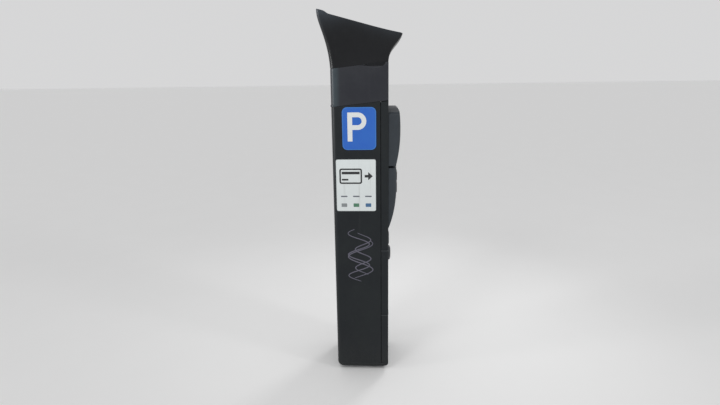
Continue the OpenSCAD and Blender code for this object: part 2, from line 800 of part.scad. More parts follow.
module head_lever() {
    y = platen_y + 22;
    z = platen_z + 22;
    color("limegreen") {
        bar_x(y, z, 2.5, cheek_x - 6, cheek_x + cheek_t + 6);
        bar_x(y, z, 7, cheek_x + cheek_t + touch_gap, cheek_x + cheek_t + 5);
        block(cheek_x + cheek_t + touch_gap, cheek_x + cheek_t + 5, y - 4, y + 4, z, z + 34);
        block(cheek_x + cheek_t + touch_gap, cheek_x + cheek_t + 16, y - 5, y + 5, z + 30, z + 36);
    }
}

module cutter_blade() {
    y = printer_y0 + 10;
    color("silver") difference() {
        block(-cheek_x + touch_gap, cheek_x - touch_gap, y, y + 1.5, platen_z + 12, platen_z + 32);
        translate([0, y - 1, platen_z + 12]) rotate([-90, 0, 0]) linear_extrude(4)
            polygon([[-paper_w / 2, 1], [paper_w / 2, 1], [0, -4]]);
    }
}

module paper_spindle() {
    color("black") {
        bar_x(roll_y, roll_z, 24, -cheek_x, -cheek_x + 4);
        bar_x(roll_y, roll_z, spindle_r, -cheek_x + 4, paper_w / 2 + 3);
        bar_x(roll_y, roll_z, spindle_r + 6, paper_w / 2 + 3, paper_w / 2 + 6);
    }
}

module paper_roll() {
    color("white") difference() {
        bar_x(roll_y, roll_z, roll_r, -paper_w / 2, paper_w / 2);
        bar_x(roll_y, roll_z, spindle_r + run_fit, -paper_w / 2 - 1, paper_w / 2 + 1);
    }
}

// ---------- display fascia ----------

// How far forward the display fascia stands at height z, on a shallow curve
function display_y(z) = front_y - display_bulge + 20.5 * pow((z - display_mid_z) / 165, 2);

function display_profile(inset) =
    let (r = 26 - inset, z1 = display_top_z - inset, z0 = display_z + inset)
    concat([[front_y + (inset > 0 ? 1 : 0), z0]],
        [for (i = [0:12]) let (z = z0 + (z1 - r - z0) * i / 12) [display_y(z) + inset, z]],
        arc(display_y(z1 - r) + inset + r, z1 - r, r, 180, 90),
        [[front_y + (inset > 0 ? 1 : 0), z1]]);

// Front view: an arched top, falling by 20 to rounded shoulders
module display_front(inset) {
    hx = fascia_x - inset;
    z1 = display_top_z - inset;
    z0 = display_z + inset;
    r = 22;
    function crown(x) = z1 - 20 * pow(x / (hx - r), 2);
    polygon(concat(arc(hx - 5, z0 + 5, 5, 270, 360), arc(hx - r, z1 - 20 - r, r, 0, 80),
        [for (i = [1:15]) let (x = (hx - r) * (1 - i / 8)) [x, crown(x)]],
        arc(-hx + r, z1 - 20 - r, r, 100, 180), arc(-hx + 5, z0 + 5, 5, 180, 270)));
}

module display_body(inset) {
    intersection() {
        across(display_profile(inset), fascia_x + 5);
        facing(front_y - 80, front_y + 1) display_front(inset);
        upright(outline(fascia_x - inset, front_y - display_bulge + inset, front_y + 2, edge_r - inset, 1),
                display_z - 1, display_top_z + 1);
    }
}

module display_fascia() {
    rim = 5;
    color("#4a5058") difference() {
        display_body(0);
        difference() {
            display_body(fascia_wall);
            block(-window_w / 2 - rim, window_w / 2 + rim, front_y - 80, window_face_y + 4,
                  window_z - window_h / 2 - rim, window_z + window_h / 2 + rim);
            block(-window_w / 2 - rim, window_w / 2 + rim, front_y - 80, plate_face_y + 4,
                  button_z - 26, button_z + 26);
        }
        block(-window_w / 2, window_w / 2, front_y - 80, window_face_y + 10,
              window_z - window_h / 2, window_z + window_h / 2);
        block(-window_w / 2, window_w / 2, front_y - 80, plate_face_y + 10,
              button_z - plate_h / 2, button_z + plate_h / 2);
    }
}

module display_window() {
    color([0.2, 0.25, 0.3, 0.6]) span(0, window_w / 2 - fit_gap, window_face_y, window_face_y + pane_t,
        window_z - window_h / 2 + fit_gap, window_z + window_h / 2 - fit_gap);
}

module display_module() {
    color("darkslategray") {
        span(0, window_w / 2 + 4, window_face_y + pane_t + 1, window_face_y + 14,
             window_z - window_h / 2 - 4, window_z + window_h / 2 + 4);
        span(0, window_w / 2 - 12, window_face_y + pane_t, window_face_y + pane_t + 1,
             window_z - window_h / 2 + 10, window_z + window_h / 2 - 10);
    }
}

function button_x(i) = (i - 1.5) * button_pitch;

module button_plate() {
    frame_y = plate_face_y + plate_t;
    color("#2b2e33") difference() {
        union() {
            span(0, window_w / 2 - fit_gap, plate_face_y, frame_y, button_z - plate_h / 2 + fit_gap,
                 button_z + plate_h / 2 - fit_gap);
            span(0, window_w / 2 + 4, frame_y, frame_y + pocket_t + 4, button_z - plate_h / 2 - 2,
                 button_z + plate_h / 2 + 2);
        }
        for (i = [0:3]) {
            translate([button_x(i), 0, button_z]) facing(plate_face_y - 1, frame_y + 1)
                rounded(button_w + 2 * key_gap, button_h + 2 * key_gap, 5.4);
            translate([button_x(i), 0, button_z]) facing(frame_y, frame_y + pocket_t)
                rounded(button_w + 5, button_h + 5, 6);
            bar_y(button_x(i), button_z, stem_r + touch_gap, frame_y, frame_y + pocket_t + 5);
        }
    }
}

// A key cap with a flange behind the plate and a stem
module push_key(i, tint) {
    flange_y = plate_face_y + plate_t + touch_gap;
    color(tint) translate([button_x(i), 0, button_z]) {
        facing(plate_face_y - button_travel - 0.5, flange_y) rounded(button_w, button_h, 5);
        facing(flange_y, flange_y + flange_t) rounded(button_w + 3, button_h + 3, 5.5);
        bar_y(0, 0, stem_r, flange_y + flange_t, plate_face_y + plate_t + pocket_t + 2);
    }
}

module cancel_button() { push_key(0, "firebrick"); }
module minus_button() { push_key(1, "gainsboro"); }
module plus_button() { push_key(2, "gainsboro"); }
module confirm_button() { push_key(3, "forestgreen"); }

// ---------- payment fascia ----------

// How far forward the payment fascia stands at height z: upright above, and curving in to the door below
function payment_y(z) =
    let (knee = payment_top_z - 72, low = max(knee - z, 0), high = max(z - knee, 0))
    front_y - payment_bulge + (payment_bulge - 1) * pow(low / (knee - payment_z), 2.25)
    + 2.5 * pow(high / 72, 2);

function payment_profile(inset) =
    let (z1 = payment_top_z - inset, z0 = payment_z + (inset > 0 ? 30 : 0))
    concat([[front_y + (inset > 0 ? 1 : 0), z0]],
        [for (i = [0:18]) let (z = z0 + (z1 - z0) * i / 18) [payment_y(z) + inset, z]],
        [[front_y + (inset > 0 ? 1 : 0), z1]]);

module payment_body(inset) {
    hx = fascia_x - inset;
    h = payment_h - 2 * inset;
    intersection() {
        across(payment_profile(inset), fascia_x + 5);
        translate([0, 0, payment_z + payment_h / 2]) facing(front_y - 80, front_y + 1)
            rounded(2 * hx, h, 5);
        upright(outline(hx, front_y - payment_bulge + inset, front_y + 2, edge_r - inset, 1),
                payment_z - 1, payment_top_z + 1);
    }
}

module payment_fascia() {
    color("#4a5058") difference() {
        payment_body(0);
        difference() {
            payment_body(fascia_wall);
            block(-cup_half_w - 6, cup_half_w + 6, front_y - 80, cup_front_y, cup_z - 4, cup_z + cup_h + 4);
        }
        block(-cup_half_w, cup_half_w, front_y - 80, front_y + 2, cup_z + 2.5, cup_z + cup_h - 2.5);
        for (hole = [[slot_x, slot_z, slot_plate_w, slot_plate_h, 6], [card_x, card_z, card_w, card_h, 8],
                     [card_x, tap_z, card_w, tap_h, 10]])
            translate([hole[0], 0, hole[1]]) facing(front_y - 80, slot_face_y + 12)
                rounded(hole[2] + 2 * fit_gap, hole[3] + 2 * fit_gap, hole[4] + fit_gap);
        bar_x(flap_pivot_y, flap_pivot_z, flap_pin_r, -cup_half_w - 4, cup_half_w + 4);
        bar_y(slot_x, return_z, 12.4, front_y - 80, slot_face_y + 12);
    }
}

module coin_slot_plate() {
    y = slot_face_y - 2;
    color("silver") difference() {
        translate([slot_x, 0, slot_z]) facing(y, y + 7) rounded(slot_plate_w, slot_plate_h, 6);
        block(slot_x - 1.8, slot_x + 1.8, y - 1, y + 8, slot_z - 16, slot_z + 16);
    }
}

// Moves aside to let a coin in
module coin_shutter() {
    y = slot_face_y + 5;
    color("gold") block(slot_x - 5, slot_x + 5, y + 0.2, y + 1.7, slot_z - 19, slot_z + 19);
}

module coin_selector() {
    y0 = slot_face_y + 7;
    color("teal") difference() {
        block(slot_x - 27, slot_x + 27, y0, door_y - 5, slot_z - 34, slot_z + 27);
        block(slot_x - 1.8, slot_x + 1.8, y0 - 1, door_y - 20, slot_z - 16, slot_z + 16);
        block(slot_x - 1.8, slot_x + 1.8, y0 + 15, door_y - 10, slot_z - 35, slot_z);
    }
}

// A duct from the selector back through the doorway, over the funnel
module coin_chute() {
    top_z = slot_z - 34;
    bend_z = top_z - 125;
    end_z = upper_door_z + 64;
    y0 = door_y - 42;
    y1 = door_y - 20;
    module duct(grow, over) {
        translate([slot_x, 0, 0]) across([
            [y0 - grow, top_z + over], [y0 - grow, bend_z], [inlet_y - 24 - grow, end_z + 60],
            [inlet_y - 24 - grow, end_z - over], [inlet_y - 8 + grow, end_z - over],
            [inlet_y - 8 + grow, end_z + 70], [y1 + grow, bend_z + 18], [y1 + grow, top_z + over]],
            12 + grow);
    }
    color("gainsboro") difference() {
        duct(2, 0);
        duct(0, 1);
    }
}

module coin_return_button() {
    color("gainsboro") {
        bar_y(slot_x, return_z, 12, slot_face_y - 4, slot_face_y + 5.2);
        bar_y(slot_x, return_z, 13.5, slot_face_y + 5.2, slot_face_y + 8.2);
        bar_y(slot_x, return_z, 4, slot_face_y + 8.2, slot_face_y + 18);
    }
}

module card_reader_mouth() {
    y = slot_face_y - 2.5;
    color("#17181a") difference() {
        translate([card_x, 0, card_z]) facing(y, slot_face_y + 8) rounded(card_w, card_h, 8);
        block(card_x - 28, card_x + 28, y - 1, slot_face_y + 9, card_z - 1.2, card_z + 1.2);
        block(card_x - 14, card_x + 14, y - 1, y + 3, card_z - 9, card_z + 9);
    }
}

module card_reader() {
    y0 = slot_face_y + 8;
    color("dimgray") difference() {
        block(card_x - 35, card_x + 35, y0, door_y - 4, card_z - 14, card_z + 14);
        block(card_x - 28, card_x + 28, y0 - 1, door_y - 12, card_z - 1.2, card_z + 1.2);
    }
}

module contactless_reader() {
    color("#101113") translate([card_x, 0, tap_z]) {
        facing(slot_face_y - 2.5, slot_face_y + 4) rounded(card_w, tap_h, 10);
        facing(slot_face_y + 4, slot_face_y + 16) rounded(card_w - 4, tap_h - 4, 8);
    }
}

module ticket_cup() {
    x1 = cup_half_w + 3;
    color("#222428") difference() {
        block(-x1, x1, cup_front_y + touch_gap, cup_back_y, cup_z, cup_z + cup_h);
        block(-x1 + cup_wall, x1 - cup_wall, cup_front_y - 1, cup_back_y - cup_wall, cup_z + cup_wall,
              cup_z + cup_h - cup_wall);
        block(-paper_w / 2 - 3, paper_w / 2 + 3, cup_back_y - cup_wall - 1, cup_back_y + 1,
              ticket_z - 4, ticket_z + 4);
    }
}

module flap_pin() {
    color("silver") bar_x(flap_pivot_y, flap_pivot_z, flap_pin_r, -cup_half_w - 4, cup_half_w + 4);
}

// A clear flap that hangs from its pin and is pushed inwards
module ticket_flap() {
    x1 = cup_half_w - 2;
    color([0.7, 0.8, 0.85, 0.5]) difference() {
        union() {
            span(0, x1, flap_pivot_y - flap_t / 2, flap_pivot_y + flap_t / 2,
                 flap_pivot_z - flap_len, flap_pivot_z);
            bar_x(flap_pivot_y, flap_pivot_z, flap_pin_r + 2, -x1, x1);
        }
        bar_x(flap_pivot_y, flap_pivot_z, flap_pin_r + run_fit, -x1 - 1, x1 + 1);
    }
}

// Screws through the door into the four corners of both fascias, from inside
module fascia_screws() {
    heights = [display_z + 8, display_top_z - 40, payment_z + 20, payment_top_z - 6];
    color("silver") for (z = heights, s = [-1, 1])
        bar_y(s * (fascia_x - 7), z, 3.5, front_y + wall, front_y + wall + 3);
}

base_plate();
plinth();
main_housing();
head_plate();
neck_casing();
solar_cowl();
solar_frame();
solar_laminate();
door_crossbars();
vault_enclosure();
coin_box();
coin_box_lid();
coin_box_shutter();
coin_funnel();
battery();
battery_shelf();
control_unit();
antenna();
solar_cable();
printer_frame();
print_head();
paper_spindle();
paper_roll();
platen_roller();
cutter_blade();
head_lever();
hinge_knuckles();
hinge_pins();
door_seals();
parking_sign();
payment_sticker();
upper_door();
display_fascia();
payment_fascia();
display_window();
display_module();
button_plate();
card_reader_mouth();
card_reader();
contactless_reader();
coin_slot_plate();
coin_shutter();
coin_selector();
coin_chute();
ticket_cup();
ticket_flap();
flap_pin();
fascia_screws();
cancel_button();
confirm_button();
minus_button();
plus_button();
coin_return_button();
upper_lock_boss();
upper_lock();
vault_door();
vault_lock_boss();
vault_lock();
base_door();
base_lock();
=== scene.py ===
"""Looks of a solar pay-and-display column: painted steel housing, moulded fascias, solar cowl and works."""

import json
import math

import bmesh
import bpy
import numpy as np
from mathutils import Matrix, Vector


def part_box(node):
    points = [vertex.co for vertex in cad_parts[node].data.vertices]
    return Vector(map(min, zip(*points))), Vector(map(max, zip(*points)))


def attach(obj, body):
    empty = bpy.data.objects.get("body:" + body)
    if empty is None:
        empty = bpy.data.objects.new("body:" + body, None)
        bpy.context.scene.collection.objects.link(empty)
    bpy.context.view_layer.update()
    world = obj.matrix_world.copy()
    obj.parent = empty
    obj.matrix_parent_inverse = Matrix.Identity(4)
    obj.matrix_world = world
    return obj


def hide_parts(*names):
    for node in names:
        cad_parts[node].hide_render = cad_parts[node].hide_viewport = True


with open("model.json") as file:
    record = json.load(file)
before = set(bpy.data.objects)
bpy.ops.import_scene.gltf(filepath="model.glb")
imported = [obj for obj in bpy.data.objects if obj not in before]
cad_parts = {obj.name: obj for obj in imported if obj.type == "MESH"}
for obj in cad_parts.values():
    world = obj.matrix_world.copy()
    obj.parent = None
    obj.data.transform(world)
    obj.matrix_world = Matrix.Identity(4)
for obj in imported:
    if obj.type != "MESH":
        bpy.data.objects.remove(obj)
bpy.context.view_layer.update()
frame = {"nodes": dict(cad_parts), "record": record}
MM = 0.001
SLOT_OF = {row["node"]: row["material_slot"] for row in frame["record"]["subparts"]}
BODY_OF = {n: body for body, nodes in frame["record"]["behaviour"]["bodies"].items() for n in nodes}

# ---------- places from the frame, and the seams' given slope ---

HOUSING_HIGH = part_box("main_housing")[1]
DOOR_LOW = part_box("upper_door")[0]
COWL_LOW, COWL_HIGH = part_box("solar_cowl")
NECK_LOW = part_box("neck_casing")[0]
HALF_W = HOUSING_HIGH.x
REAR_Y = HOUSING_HIGH.y
FRONT_Y = DOOR_LOW.y
SEAM_SLOPE = math.tan(math.radians(6.16))
SIDE_X = -HALF_W

# ---------- wiring of material nodes ----------


def join(tree, value, socket):
    """Links an output to a socket, or writes a plain value into it."""
    if isinstance(value, bpy.types.NodeSocket):
        tree.links.new(value, socket)
    elif value is not None:
        socket.default_value = value


def maths(tree, operation, first, second=None, third=None, clamp=False):
    """One arithmetic step on two or three sockets or numbers."""
    step = tree.nodes.new("ShaderNodeMath")
    step.operation = operation
    step.use_clamp = clamp
    for socket, value in zip(step.inputs, (first, second, third)):
        join(tree, value, socket)
    return step.outputs[0]


def ramp(tree, value, low, high, to_low=0.0, to_high=1.0):
    """A smooth step from to_low to to_high as value goes from low to high."""
    step = tree.nodes.new("ShaderNodeMapRange")
    step.interpolation_type = "SMOOTHSTEP"
    for label, given in (("Value", value), ("From Min", low), ("From Max", high),
                         ("To Min", to_low), ("To Max", to_high)):
        join(tree, given, step.inputs[label])
    return step.outputs["Result"]


def tinted(tree, share, first, second):
    """A colour between two colours."""
    mix = tree.nodes.new("ShaderNodeMix")
    mix.data_type = "RGBA"
    join(tree, share, mix.inputs["Factor"])
    colours = [socket for socket in mix.inputs if socket.type == "RGBA"]
    for socket, value in zip(colours, (first, second)):
        join(tree, (*value, 1.0) if isinstance(value, tuple) and len(value) == 3 else value, socket)
    return next(socket for socket in mix.outputs if socket.type == "RGBA")


def stretched(tree, vector, factors):
    """Coordinates multiplied axis by axis, which stretches a pattern along the axes with small factors."""
    step = tree.nodes.new("ShaderNodeVectorMath")
    step.operation = "MULTIPLY"
    join(tree, vector, step.inputs[0])
    step.inputs[1].default_value = factors
    return step.outputs["Vector"]


def cloud(tree, vector, scale, detail=3.0, roughness=0.55):
    """Fractal noise from 0 to 1 on the given coordinates."""
    noise = tree.nodes.new("ShaderNodeTexNoise")
    join(tree, vector, noise.inputs["Vector"])
    join(tree, scale, noise.inputs["Scale"])
    noise.inputs["Detail"].default_value = detail
    noise.inputs["Roughness"].default_value = roughness
    return noise.outputs["Fac"]


def place(tree):
    """Object coordinates of the piece, in metres."""
    return tree.nodes.new("ShaderNodeTexCoord").outputs["Object"]


def effect(name, inputs, outputs):
    """An empty node group with named inputs and outputs."""
    tree = bpy.data.node_groups.new(name, "ShaderNodeTree")
    for label, kind, value in inputs:
        socket = tree.interface.new_socket(label, in_out="INPUT", socket_type="NodeSocket" + kind)
        if value is not None:
            socket.default_value = value
    for label in outputs:
        tree.interface.new_socket(label, in_out="OUTPUT", socket_type="NodeSocketFloat")
    return tree, tree.nodes.new("NodeGroupInput").outputs, tree.nodes.new("NodeGroupOutput").inputs


def weather_effect():
    """Broad smudges, rain streaks down the walls, and dust that thickens towards the ground."""
    tree, given, made = effect("weathering", [("Vector", "Vector", None), ("Ground", "Float", 0.0)],
                               ["Smudge", "Streak", "Dust"])
    vector = given["Vector"]
    broad = cloud(tree, vector, 5.0, 5.0, 0.6)
    fine = cloud(tree, vector, 46.0, 3.0, 0.6)
    smudge = maths(tree, "ADD", maths(tree, "MULTIPLY", broad, 0.72), maths(tree, "MULTIPLY", fine, 0.28))
    join(tree, ramp(tree, smudge, 0.36, 0.66), made["Smudge"])
    lanes = cloud(tree, stretched(tree, vector, (58.0, 58.0, 1.6)), 1.0, 4.0, 0.6)
    patches = cloud(tree, stretched(tree, vector, (4.0, 4.0, 2.2)), 1.0, 2.0)
    streak = maths(tree, "MULTIPLY", ramp(tree, lanes, 0.52, 0.78), ramp(tree, patches, 0.42, 0.68))
    join(tree, streak, made["Streak"])
    split = tree.nodes.new("ShaderNodeSeparateXYZ")
    join(tree, vector, split.inputs[0])
    height = maths(tree, "SUBTRACT", split.outputs["Z"], given["Ground"])
    low = ramp(tree, height, 0.0, 0.34, 1.0, 0.0)
    speckle = cloud(tree, vector, 190.0, 3.0, 0.7)
    dust = maths(tree, "MULTIPLY", maths(tree, "POWER", low, 2.2), ramp(tree, speckle, 0.32, 0.62))
    join(tree, dust, made["Dust"])
    return tree


def grain_effect():
    """Height of a fine moulded or sprayed texture: rounded cells with finer noise over them."""
    tree, given, made = effect("surface grain", [("Vector", "Vector", None), ("Scale", "Float", 900.0)],
                               ["Height"])
    cells = tree.nodes.new("ShaderNodeTexVoronoi")
    cells.feature = "SMOOTH_F1"
    join(tree, given["Vector"], cells.inputs["Vector"])
    join(tree, given["Scale"], cells.inputs["Scale"])
    fine = cloud(tree, given["Vector"], maths(tree, "MULTIPLY", given["Scale"], 0.45), 3.0, 0.6)
    height = maths(tree, "ADD", maths(tree, "MULTIPLY", cells.outputs["Distance"], 0.5), fine)
    join(tree, height, made["Height"])
    return tree


def wear_effect():
    """Where paint is rubbed thin: the rounded edges, broken up by noise, and a few nicks elsewhere."""
    tree, given, made = effect("rubbed edges", [("Vector", "Vector", None), ("Edge", "Float", 0.0)], ["Worn"])
    patchy = ramp(tree, cloud(tree, given["Vector"], 34.0, 5.0, 0.7), 0.40, 0.60)
    nicks = ramp(tree, cloud(tree, given["Vector"], 115.0, 2.0, 0.5), 0.715, 0.76)
    broken = maths(tree, "ADD", maths(tree, "MULTIPLY", patchy, 0.7), 0.3)
    rubbed = maths(tree, "MULTIPLY", given["Edge"], broken)
    join(tree, maths(tree, "MAXIMUM", rubbed, maths(tree, "MULTIPLY", nicks, 0.6)), made["Worn"])
    return tree


def brushing_effect():
    """Height of long parallel scratches along one axis, with a few deeper ones."""
    tree, given, made = effect("brushing", [("Vector", "Vector", None)], ["Height", "Sheen"])
    fine = cloud(tree, given["Vector"], 1.0, 5.0, 0.7)
    join(tree, fine, made["Height"])
    join(tree, ramp(tree, fine, 0.38, 0.62), made["Sheen"])
    return tree


WEATHER = weather_effect()
GRAIN = grain_effect()
WEAR = wear_effect()
BRUSHING = brushing_effect()


def use(tree, group, **values):
    """Places a shared effect in a material with the material's own values."""
    placed = tree.nodes.new("ShaderNodeGroup")
    placed.node_tree = group
    for label, value in values.items():
        join(tree, value, placed.inputs[label])
    return placed.outputs


# ---------- materials ----------

MATERIALS = {}


def started(name):
    """A new material's tree, its shader and the piece's coordinates."""
    material = bpy.data.materials.new(name)
    material.use_nodes = True
    MATERIALS[name] = material
    tree = material.node_tree
    return tree, tree.nodes["Principled BSDF"], place(tree)


def bumped(tree, shader, height, depth):
    """Feeds a height, in the given depth, to the shader's normal."""
    bump = tree.nodes.new("ShaderNodeBump")
    bump.inputs["Strength"].default_value = 1.0
    bump.inputs["Distance"].default_value = depth
    join(tree, height, bump.inputs["Height"])
    join(tree, bump.outputs["Normal"], shader.inputs["Normal"])


def attribute_of(tree, name):
    """A number that the piece's mesh carries, or 0 where it carries none."""
    attribute = tree.nodes.new("ShaderNodeAttribute")
    attribute.attribute_name = name
    return attribute.outputs["Fac"]


def edge_of(tree):
    """1 on the rounded edges of a piece and 0 on its faces."""
    return attribute_of(tree, "rounded_edge")


def coated(name, base, pale, roughness, grain=900.0, depth=0.00006, worn=(0.11, 0.115, 0.12), wear=0.55,
           dust=0.22, streaks=0.35, gloss=0.5, ground=0.0, fade_and_sheen=None):
    """Paint or moulding: grain, smudges, streaks, ground dust and rubbed edges over one base colour, and, where the
    mesh carries a share for it, a paler colour blended in as a painted highlight.
    """
    tree, shader, vector = started(name)
    weather = use(tree, WEATHER, Vector=vector, Ground=ground)
    rubbed = use(tree, WEAR, Vector=vector, Edge=edge_of(tree))["Worn"]
    colour = tinted(tree, maths(tree, "MULTIPLY", weather["Smudge"], 0.55), base, pale)
    colour = tinted(tree, maths(tree, "MULTIPLY", weather["Streak"], streaks), colour, (0.060, 0.064, 0.064))
    colour = tinted(tree, maths(tree, "MULTIPLY", weather["Dust"], dust), colour, (0.075, 0.075, 0.070))
    colour = tinted(tree, maths(tree, "MULTIPLY", rubbed, wear), colour, worn)
    if fade_and_sheen:
        # Painted highlight: the paler colour is blended in by the share that the mesh carries, broken up a little by
        # the smudges.
        share = maths(tree, "MULTIPLY", attribute_of(tree, "fade_and_sheen"), maths(tree, "ADD", 0.7, maths(
            tree, "MULTIPLY", weather["Smudge"], 0.3)))
        colour = tinted(tree, share, colour, fade_and_sheen)
    join(tree, colour, shader.inputs["Base Color"])
    rough = maths(tree, "ADD", roughness - 0.05, maths(tree, "MULTIPLY", weather["Smudge"], 0.10))
    rough = maths(tree, "ADD", rough, maths(tree, "MULTIPLY", weather["Dust"], 0.25))
    rough = maths(tree, "SUBTRACT", rough, maths(tree, "MULTIPLY", rubbed, 0.06), clamp=True)
    join(tree, rough, shader.inputs["Roughness"])
    shader.inputs["Specular IOR Level"].default_value = gloss
    bumped(tree, shader, use(tree, GRAIN, Vector=vector, Scale=grain)["Height"], depth)


def metal(name, base, dull, roughness, along=(1.0, 1.0, 0.03), scale=900.0, depth=0.00002, stain=0.3):
    """Bare metal brushed along one axis, with duller handled patches."""
    tree, shader, vector = started(name)
    weather = use(tree, WEATHER, Vector=vector)
    brushed = use(tree, BRUSHING, Vector=stretched(tree, vector, tuple(scale * a for a in along)))
    colour = tinted(tree, maths(tree, "MULTIPLY", weather["Smudge"], stain), base, dull)
    join(tree, colour, shader.inputs["Base Color"])
    shader.inputs["Metallic"].default_value = 1.0
    rough = maths(tree, "ADD", roughness, maths(tree, "MULTIPLY", brushed["Sheen"], 0.10))
    rough = maths(tree, "ADD", rough, maths(tree, "MULTIPLY", weather["Smudge"], 0.12))
    join(tree, rough, shader.inputs["Roughness"])
    bumped(tree, shader, brushed["Height"], depth)


def clear(name, colour, roughness, scratches):
    """Clear plastic with fine scratches."""
    tree, shader, vector = started(name)
    lines = cloud(tree, stretched(tree, vector, (900.0, 900.0, 40.0)), 1.0, 4.0, 0.7)
    haze = ramp(tree, cloud(tree, vector, 30.0, 4.0), 0.4, 0.75)
    shader.inputs["Base Color"].default_value = (*colour, 1.0)
    shader.inputs["Transmission Weight"].default_value = 1.0
    shader.inputs["IOR"].default_value = 1.49
    marks = maths(tree, "MULTIPLY", maths(tree, "MULTIPLY", lines, haze), scratches)
    rough = maths(tree, "ADD", roughness, marks)
    join(tree, rough, shader.inputs["Roughness"])


def printed(name, colour, fade_and_sheen, roughness, coat=0.3, dirt=0.35):
    """A flat printed or enamelled colour that has paled and gathered grime in patches."""
    tree, shader, vector = started(name)
    weather = use(tree, WEATHER, Vector=vector)
    shade = tinted(tree, maths(tree, "MULTIPLY", weather["Smudge"], 0.6), colour, fade_and_sheen)
    shade = tinted(tree, maths(tree, "MULTIPLY", weather["Streak"], dirt), shade, (0.20, 0.19, 0.17))
    join(tree, shade, shader.inputs["Base Color"])
    join(tree, maths(tree, "ADD", roughness, maths(tree, "MULTIPLY", weather["Smudge"], 0.16)),
         shader.inputs["Roughness"])
    shader.inputs["Coat Weight"].default_value = coat
    shader.inputs["Coat Roughness"].default_value = 0.18
    bumped(tree, shader, use(tree, GRAIN, Vector=vector, Scale=420.0)["Height"], 0.00003)


def glowing(name, colour, strength):
    """A small lit lens."""
    tree, shader, vector = started(name)
    shade = tinted(tree, cloud(tree, vector, 700.0), colour, tuple(0.8 * c for c in colour))
    join(tree, shade, shader.inputs["Base Color"])
    join(tree, shade, shader.inputs["Emission Color"])
    shader.inputs["Emission Strength"].default_value = strength
    shader.inputs["Roughness"].default_value = 0.25


def solar_cell_material():
    """Dark blue silicon: crystal flakes a few millimetres across, each with its own shade, and fine grid lines."""
    tree, shader, vector = started("solar_cell")
    flakes = tree.nodes.new("ShaderNodeTexVoronoi")
    join(tree, vector, flakes.inputs["Vector"])
    flakes.inputs["Scale"].default_value = 260.0
    tone = tree.nodes.new("ShaderNodeSeparateColor")
    join(tree, flakes.outputs["Color"], tone.inputs[0])
    shade = maths(tree, "MULTIPLY", tone.outputs[0], 0.8)
    colour = tinted(tree, shade, (0.006, 0.012, 0.045), (0.02, 0.045, 0.13))
    split = tree.nodes.new("ShaderNodeSeparateXYZ")
    join(tree, vector, split.inputs[0])
    wave = maths(tree, "SINE", maths(tree, "MULTIPLY", split.outputs["X"], 2 * math.pi / (2.2 * MM)))
    finger = ramp(tree, wave, 0.965, 0.985)
    colour = tinted(tree, maths(tree, "MULTIPLY", finger, 0.4), colour, (0.35, 0.36, 0.38))
    join(tree, colour, shader.inputs["Base Color"])
    dusty = use(tree, WEATHER, Vector=vector)["Smudge"]
    join(tree, maths(tree, "ADD", 0.12, maths(tree, "MULTIPLY", dusty, 0.2)), shader.inputs["Roughness"])
    shader.inputs["Coat Weight"].default_value = 1.0
    shader.inputs["Coat Roughness"].default_value = 0.04


def paper_material(centre):
    """Off-white thermal paper, with the edges of its turns as faint rings round the roll's axis."""
    tree, shader, vector = started("ticket_paper")
    move = tree.nodes.new("ShaderNodeVectorMath")
    move.operation = "SUBTRACT"
    join(tree, vector, move.inputs[0])
    move.inputs[1].default_value = centre
    flat = stretched(tree, move.outputs["Vector"], (0.0, 1.0, 1.0))
    length = tree.nodes.new("ShaderNodeVectorMath")
    length.operation = "LENGTH"
    join(tree, flat, length.inputs[0])
    turns = maths(tree, "SINE", maths(tree, "MULTIPLY", length.outputs["Value"], 2 * math.pi / (0.9 * MM)))
    uneven = cloud(tree, stretched(tree, move.outputs["Vector"], (0.0, 60.0, 60.0)), 1.0)
    ring = maths(tree, "MULTIPLY", ramp(tree, turns, 0.2, 1.0), ramp(tree, uneven, 0.3, 0.7))
    join(tree, tinted(tree, maths(tree, "MULTIPLY", ring, 0.35), (0.80, 0.79, 0.75), (0.55, 0.54, 0.50)),
         shader.inputs["Base Color"])
    shader.inputs["Roughness"].default_value = 0.75
    bumped(tree, shader, turns, 0.00003)


